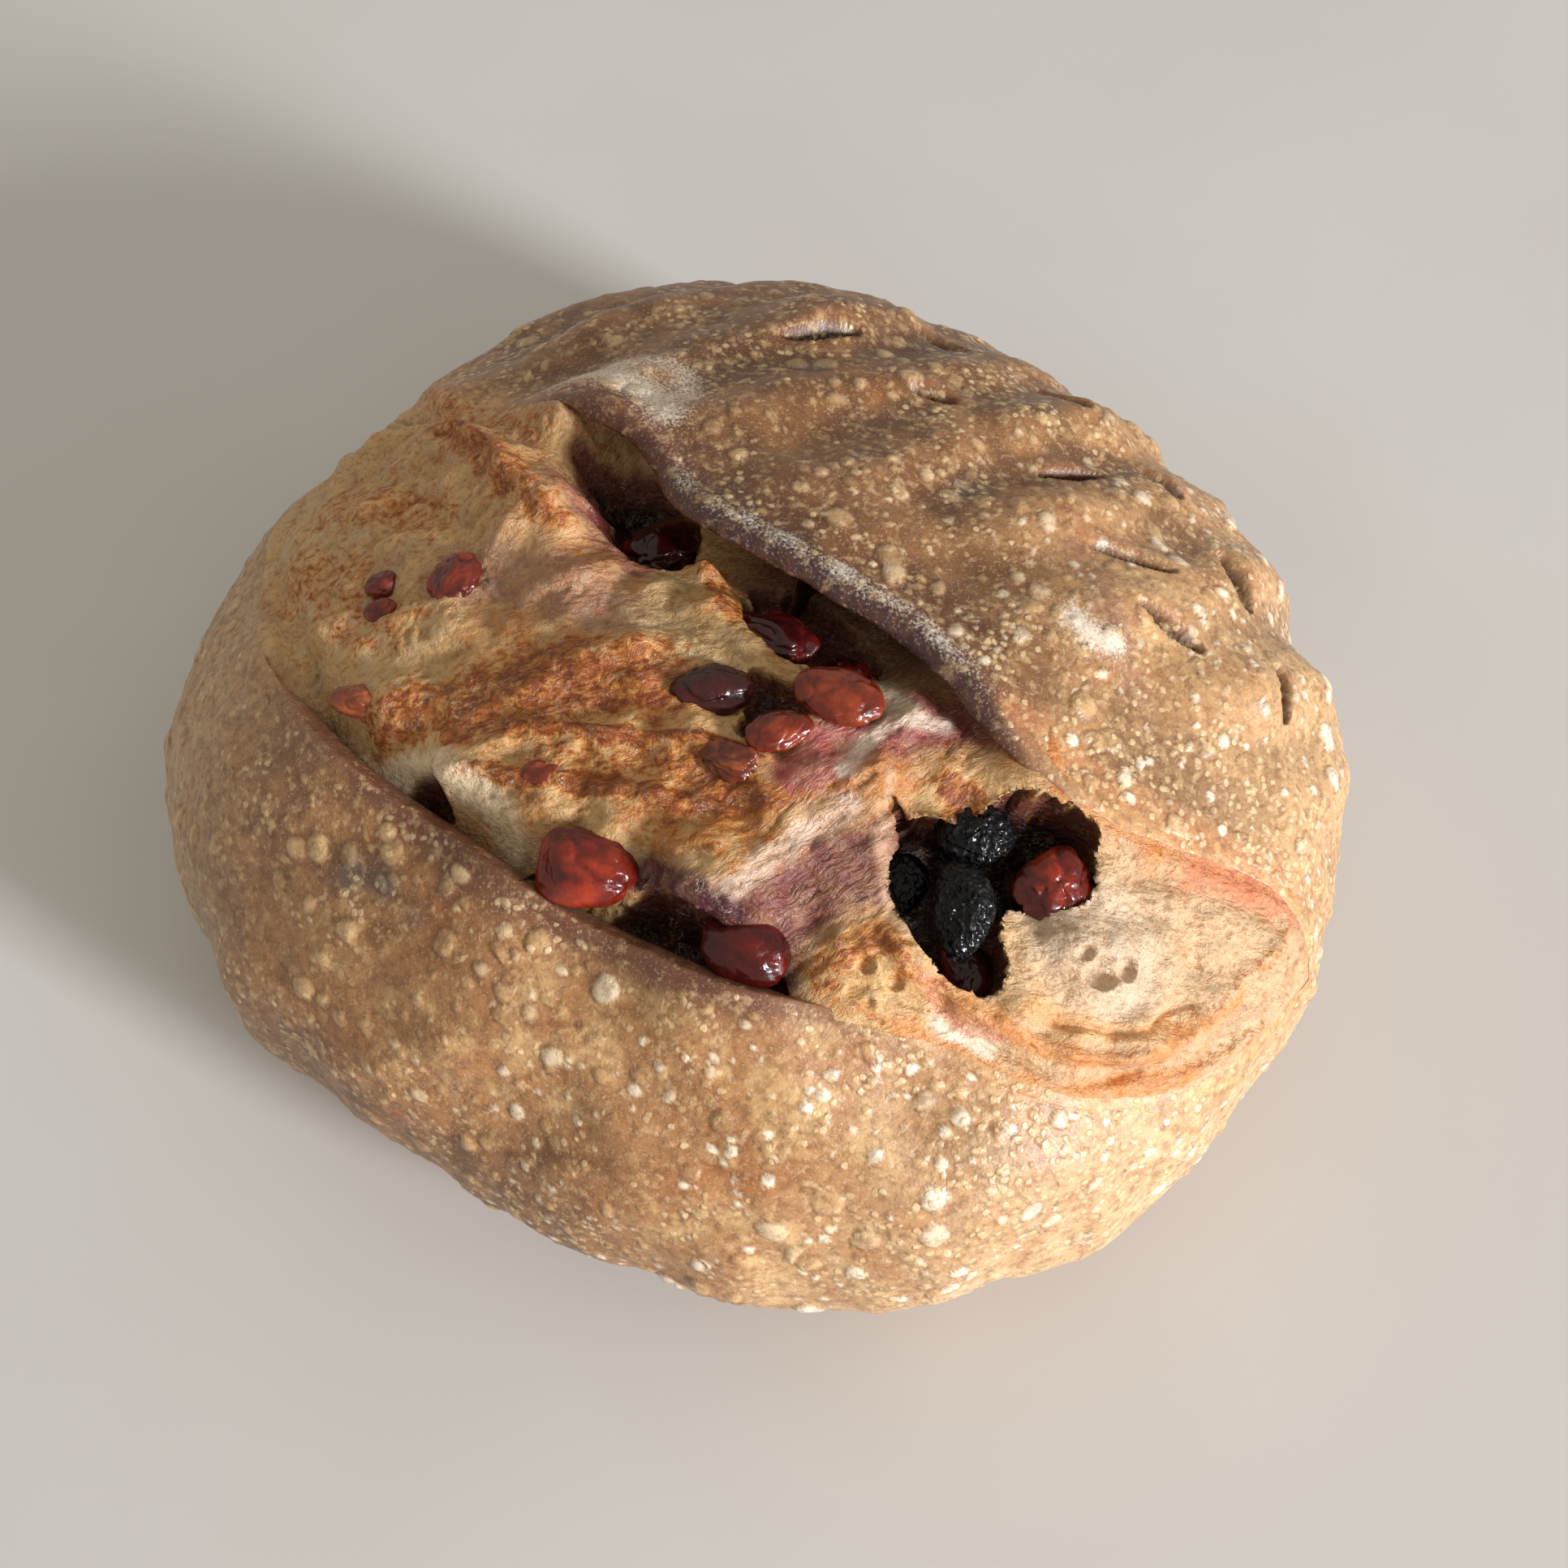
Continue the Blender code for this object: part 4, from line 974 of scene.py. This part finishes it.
def make_crumb(material):
    """The crumb as one closed piece: a tube round its surface and a base in the loaf, with two end faces."""
    grid, tint, looks, base = crumb_grid()
    points = np.concatenate([base[:1], grid, base[1:]])
    rows, columns = points.shape[:2]
    # Rows run from the near side to the far side, so the faces are turned to point outwards
    faces = [face[::-1] for face in grid_faces(rows, columns, loop_rings=True)]
    faces += [list(range(0, rows * columns, columns)), list(range(rows * columns - 1, -1, -columns))]
    return solid_mesh(
        "crumb",
        points.reshape(-1, 3),
        faces,
        np.concatenate([tint[:1], tint, tint[-1:]]).reshape(-1, 3),
        {look: np.concatenate([values[:1], values, values[-1:]]).ravel() for look, values in looks.items()},
        material,
    )


def seat_matrix(along, across, height, turn_degrees, tilt_degrees):
    """Places a shape on the dome: its X the long way, turned on the map, its Z outwards."""
    point, to_right, to_far, normal = dome_frame(np.float64(along), np.float64(across))
    seat = Matrix.Identity(4)
    for column, axis in enumerate((to_right, to_far, normal, point + normal * height)):
        seat.col[column][:3] = axis
    turn = Matrix.Rotation(math.radians(turn_degrees), 4, "Z")
    tilt = Matrix.Rotation(math.radians(tilt_degrees), 4, "Y")
    return np.array(seat @ turn @ tilt)


def ball():
    """Directions over a ball on rings between two poles, the poles last, and its faces."""
    polar = np.linspace(0, math.pi, FRUIT_ROWS + 2)[1:-1, None]
    angle = np.linspace(0, 2 * math.pi, FRUIT_COLUMNS, endpoint=False)[None]
    level = np.sin(polar)
    rings = np.stack([level * np.cos(angle), level * np.sin(angle), np.cos(polar) + 0 * angle], axis=-1)
    count = FRUIT_ROWS * FRUIT_COLUMNS
    first = [*range(FRUIT_COLUMNS), 0]
    last = [count - FRUIT_COLUMNS + column for column in reversed(first)]
    faces = grid_faces(FRUIT_ROWS, FRUIT_COLUMNS, loop_columns=True)
    faces += fan(first, count) + fan(last, count + 1)
    return np.vstack([rings.reshape(-1, 3), [[0, 0, 1], [0, 0, -1]]]), faces


def fruit_surface(directions, size, wrinkle, seed, crease, ridged):
    """A pebble swollen by soft waves; a cranberry is creased, a blueberry has a net of raised ridges."""
    swell = 1 + wrinkle * ripple(directions, 1.5, seed)
    bent = teased(directions, 0.7, 0.3, seed)
    if ridged:
        first, second = cell_walls(bent, 0.3, seed)
        tone = 1 - smooth_step(second - first, 0, 0.4)
        swell = swell - crease + 1.2 * crease * tone + 0.3 * crease * noise(bent, 0.2, seed + 5)
    else:
        folds = np.abs(noise(bent, 0.9, seed + 9)) + 0.35 * np.abs(noise(bent, 0.4, seed + 12))
        tone = smooth_step(folds, 0, 0.5)
        swell = swell - crease * (1 - tone) + 0.3 * crease * noise(bent, 0.3, seed + 5)
    return directions * swell[:, None] * np.array(size) / 2, tone


def make_fruits(rows, material, ridged):
    """Dried fruits in the places of their CAD nodes."""
    fruits = []
    directions, faces = ball()
    for seed, (name, along, across, rise, *size, turn, tilt, looks) in enumerate(rows, start=40):
        wrinkle, crease, dark, bright = looks
        shape, tone = fruit_surface(directions, size, wrinkle, seed, crease, ridged)
        height = float(crumb_relief(np.array([[along, across]], float))[0]) + rise
        seat = seat_matrix(along, across, height, turn, tilt)
        patches = smooth_step(rough(directions, 1, 3, seed + 30), -0.4, 0.8)
        base = np.broadcast_to(paint(*dark), directions.shape)
        # Dimmer in the creases and between the ridges: painted shade
        tint = layers(base, (bright, (0.15 + 0.85 * patches) * (0.5 + 0.5 * tone)))
        points = shape @ seat[:3, :3].T + seat[:3, 3]
        fruit = solid_mesh("baked_" + name, points, faces, tint, {"tone": tone}, material)
        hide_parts(name)
        fruits.append(fruit)
    return fruits


class Surface:
    """A Principled material with the few nodes that the pieces here need."""

    def __init__(self, name):
        self.material = bpy.data.materials.new(name)
        self.material.use_nodes = True
        self.tree = self.material.node_tree
        self.place = self.add("TexCoord", "Object", {})

    def fill(self, node, values):
        """Sets each named socket of a node, or joins an output to it."""
        for socket, value in values.items():
            if hasattr(value, "is_output"):
                self.tree.links.new(value, node.inputs[socket])
            else:
                node.inputs[socket].default_value = value

    def add(self, kind, output, values, **settings):
        """The named output of a new node."""
        made = self.tree.nodes.new("ShaderNode" + kind)
        for key, value in settings.items():
            setattr(made, key, value)
        self.fill(made, values)
        return made.outputs[output]

    def finished(self, values):
        """The material, with these values in its shader."""
        self.fill(self.tree.nodes["Principled BSDF"], values)
        return self.material

    def look(self, name):
        return self.add("Attribute", "Color" if name == "tint" else "Fac", {}, attribute_name=name)

    def noise(self, size_mm, detail=3, roughness=0.6, place=None, output="Fac"):
        values = {"Scale": 1 / (size_mm * MM), "Vector": place or self.place}
        values |= {"Detail": detail, "Roughness": roughness}
        return self.add("TexNoise", output, values)

    def cells(self, size_mm, output="Distance", place=None, feature="F1"):
        values = {"Scale": 1 / (size_mm * MM), "Vector": place or self.place}
        return self.add("TexVoronoi", output, values, feature=feature)

    def warped(self, size_mm, reach_mm):
        """The place shifted by noise, so that a pattern on it loses its straight lines and round cells."""
        values = {0: self.noise(size_mm, 2, 0.5, output="Color"), 1: (2 * reach_mm * MM,) * 3, 2: self.place}
        return self.add("VectorMath", "Vector", values, operation="MULTIPLY_ADD")

    def drawn_out(self, place, angle, length_mm, width_mm):
        """Noise drawn out at an angle from +X."""
        values = {"Vector": place, "Rotation": (0, 0, math.radians(angle))}
        values["Scale"] = (length_mm, width_mm, width_mm)
        return self.noise(1, 3, 0.6, self.add("Mapping", "Vector", values, vector_type="TEXTURE"))

    def ramp(self, value, low, high, start=0, end=1):
        return self.add("MapRange", "Result", {0: value, 1: low, 2: high, 3: start, 4: end})

    def math(self, operation, first, second=0):
        return self.add("Math", 0, {0: first, 1: second}, operation=operation)

    def times(self, first, second):
        return self.math("MULTIPLY", first, second)

    def blend(self, share, first, second):
        return self.add("Mix", "Result", {"Factor": share, "A": first, "B": second}, data_type="FLOAT")

    def mix(self, share, first, second, blend="MIX"):
        """A colour laid over another by a share; a colour is an output or sRGB numbers."""
        first, second = ((*paint(*part), 1) if isinstance(part, tuple) else part for part in (first, second))
        values = {"Factor": share, "A": first, "B": second}
        return self.add("Mix", "Result", values, data_type="RGBA", blend_type=blend)

    def bumps(self, height, distance_mm, under=None):
        values = {"Height": height, "Distance": distance_mm * MM, "Strength": 1}
        return self.add("Bump", "Normal", values if under is None else values | {"Normal": under})


def crust_material():
    """Baked crust: the painted tint mottled brown and pale, with small glossy blisters and flour dust."""
    made = Surface("baked_crust")
    bent = made.warped(1.6, 0.5)
    specks = made.look("specks")
    grain = made.ramp(made.noise(1.6, 5, 0.65), 0.44, 0.62)
    tint = made.mix(made.times(grain, 0.5), made.look("tint"), (112, 68, 36))
    pale = made.ramp(made.math("ADD", made.noise(1.8, 3, 0.55, bent), made.times(specks, 0.08)), 0.56, 0.74)
    tint = made.mix(made.times(pale, 0.42), tint, (228, 192, 140))
    # Small caps: one in each cell that a random number picks
    cap_share = made.ramp(made.cells(1.5, place=bent), 0.24, 0.44, 1, 0)
    pick = made.ramp(made.math("SUBTRACT", specks, made.cells(1.5, "Color", bent)), -0.05, 0.25)
    cap_share = made.times(cap_share, pick)
    tint = made.mix(made.times(cap_share, 0.6), tint, (236, 206, 158))
    dust = made.ramp(made.noise(0.45, 5, 0.7), 0.64, 0.34)
    dust = made.ramp(made.math("SUBTRACT", made.look("flour"), dust), -0.25, 0.45)
    shine = made.math("ADD", made.look("gloss"), made.times(cap_share, 0.5))
    height = made.math("ADD", cap_share, made.times(pale, 0.5))
    return made.finished({
        "Base Color": made.mix(made.times(dust, 0.8), tint, (236, 224, 206)),
        "Roughness": made.ramp(shine, 0, 1, 0.5, 0.22),
        "Normal": made.bumps(height, 0.13, made.bumps(made.noise(0.6, 4, 0.6), 0.1)),
        "Subsurface Weight": 0.1,
        "Subsurface Radius": (1, 0.45, 0.2),
        "Subsurface Scale": 0.002,
    })


# How the crumb was pulled, left to right: up to where, angle from +X, length and width of its strands
PULLS = ((-29, 30, 1.2, 0.9), (19, 12, 2, 0.8), (42, 36, 3.6, 0.6), (None, -6, 1.8, 0.8))


def crumb_material():
    """Torn crumb: toasted in blotches between pale strands, moist enough to glint."""
    made = Surface("torn_crumb")
    bent = made.warped(3, 1.1)
    along = made.look("along")
    strand, edge = None, None
    for stop, angle, length, width in PULLS:
        pulled = made.drawn_out(bent, angle, length, width)
        if edge is not None:
            pulled = made.blend(made.ramp(along, edge - 5, edge + 5), strand, pulled)
        strand, edge = pulled, stop
    strand = made.ramp(strand, 0.32, 0.68)
    blotch = made.ramp(made.noise(2, 5, 0.7, bent), 0.34, 0.66)
    level = made.math("ADD", made.times(strand, 0.35), made.times(blotch, 0.65))
    toast = made.ramp(made.math("SUBTRACT", made.look("toast"), level), -0.3, 0.45)
    browned = made.mix(toast, (216, 138, 58), (142, 74, 28))
    tint = made.mix(made.ramp(toast, 0, 0.6), made.look("tint"), browned)
    # Darker in the valleys between the strands: painted shade
    tint = made.mix(made.times(made.ramp(strand, 0.45, 0.05), 0.45), tint, (170, 124, 88), "MULTIPLY")
    thread = made.ramp(made.math("ABSOLUTE", made.math("SUBTRACT", strand, 0.6)), 0, 0.07, 1, 0)
    thread = made.times(thread, made.ramp(made.noise(3, 3, 0.6), 0.48, 0.62))
    wet = made.times(made.look("wet"), made.ramp(made.noise(1.2, 3, 0.6), 0.35, 0.65))
    height = made.math("ADD", strand, made.times(thread, 0.4))
    return made.finished({
        "Base Color": made.mix(made.times(thread, 0.65), tint, (252, 234, 200)),
        "Roughness": made.ramp(wet, 0, 0.6, 0.5, 0.12),
        "Normal": made.bumps(height, 0.24, made.bumps(made.noise(0.5, 4, 0.65), 0.16)),
        "Subsurface Weight": 0.15,
        "Subsurface Radius": (1, 0.5, 0.25),
        "Subsurface Scale": 0.0015,
    })


def cranberry_material():
    """Sticky dried cranberry: deep red, clear in its thin parts, under a glossy syrup."""
    made = Surface("dried_cranberry")
    spots = made.ramp(made.noise(2, 4, 0.6), 0.46, 0.74)
    return made.finished({
        "Base Color": made.mix(made.times(spots, 0.45), made.look("tint"), (50, 8, 8)),
        "Roughness": made.ramp(made.noise(1.1, 3, 0.6), 0.4, 0.66, 0.12, 0.4),
        "Normal": made.bumps(made.noise(1.1, 4, 0.6), 0.2),
        "Subsurface Weight": 0.3,
        "Subsurface Radius": (1, 0.15, 0.08),
        "Subsurface Scale": 0.0025,
        "Specular IOR Level": 0.25,
        "Coat Weight": 0.5,
        "Coat Roughness": 0.05,
    })


def blueberry_material():
    """Dried blueberry: nearly black, finely wrinkled, with small wet highlights."""
    made = Surface("dried_blueberry")
    wrinkles = made.bumps(made.ramp(made.cells(1.3, feature="DISTANCE_TO_EDGE"), 0, 0.3, 1, 0), 0.5)
    return made.finished({
        "Base Color": made.look("tint"),
        "Roughness": made.ramp(made.noise(1, 3, 0.6), 0.35, 0.7, 0.22, 0.5),
        "Normal": made.bumps(made.noise(0.5, 4, 0.6), 0.22, wrinkles),
        "Specular IOR Level": 0.15,
        "Coat Weight": 0.4,
        "Coat Roughness": 0.1,
    })


def make_floor():
    """A plain pale counter."""
    made = Surface("counter")
    cloud = made.ramp(made.noise(90, 3, 0.5), 0.35, 0.7)
    mesh = bpy.data.meshes.new("counter")
    reach, drop = 2.5, -0.0002
    corners = ((-reach, -reach, drop), (reach, -reach, drop), (reach, reach, drop), (-reach, reach, drop))
    mesh.from_pydata(corners, [], [(0, 1, 2, 3)])
    mesh.materials.append(made.finished({
        "Base Color": made.mix(cloud, (214, 211, 208), (210, 206, 202)),
        "Roughness": 0.45,
    }))
    placed("counter", mesh)


def aimed(name, data, place, back):
    """An object at a place, looking away from the given direction."""
    made = placed(name, data)
    made.location = place
    made.rotation_mode = "QUATERNION"
    made.rotation_quaternion = back.to_track_quat("Z", "Y")
    return made


def make_camera():
    """The photograph's own view, from above the near side."""
    lens = bpy.data.cameras.new("camera")
    lens.sensor_width = 36
    lens.lens = 36 / (2 * math.tan(VIEW_ANGLE / 2))
    lens.clip_start = 0.01
    back = Vector((0, -math.cos(VIEW_HEIGHT), math.sin(VIEW_HEIGHT)))
    bpy.context.scene.camera = aimed("camera", lens, Vector(VIEW_TARGET) + back * VIEW_DISTANCE, back)


def make_light():
    """A window low on the right of the near side, and an even, warmer fill."""
    level = math.cos(KEY_HEIGHT)
    back = Vector((level * math.cos(KEY_SIDE), -level * math.sin(KEY_SIDE), math.sin(KEY_HEIGHT)))
    window = bpy.data.lights.new("window", "AREA")
    window.shape = "RECTANGLE"
    window.size, window.size_y = KEY_SIZE
    window.energy = KEY_POWER
    window.color = KEY_COLOUR
    aimed("window", window, back * KEY_DISTANCE, back)
    world = bpy.data.worlds.new("fill")
    world.use_nodes = True
    world.node_tree.nodes["Background"].inputs["Color"].default_value = FILL_COLOUR
    world.node_tree.nodes["Background"].inputs["Strength"].default_value = FILL_STRENGTH
    bpy.context.scene.world = world
    bpy.context.scene.view_settings.view_transform = "Standard"


def main():
    make_camera()
    make_light()
    make_floor()
    bread = make_crust(crust_material()) + [make_crumb(crumb_material())]
    for piece in bread:
        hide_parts("loaf")
    red = make_fruits(CRANBERRIES, cranberry_material(), False)
    black = make_fruits(BLUEBERRIES, blueberry_material(), True)
    for piece in bread + red + black:
        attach(piece, "root")


def write_sizes():
    """Brings the view layer up to date."""
    bpy.context.view_layer.update()


main()
write_sizes()
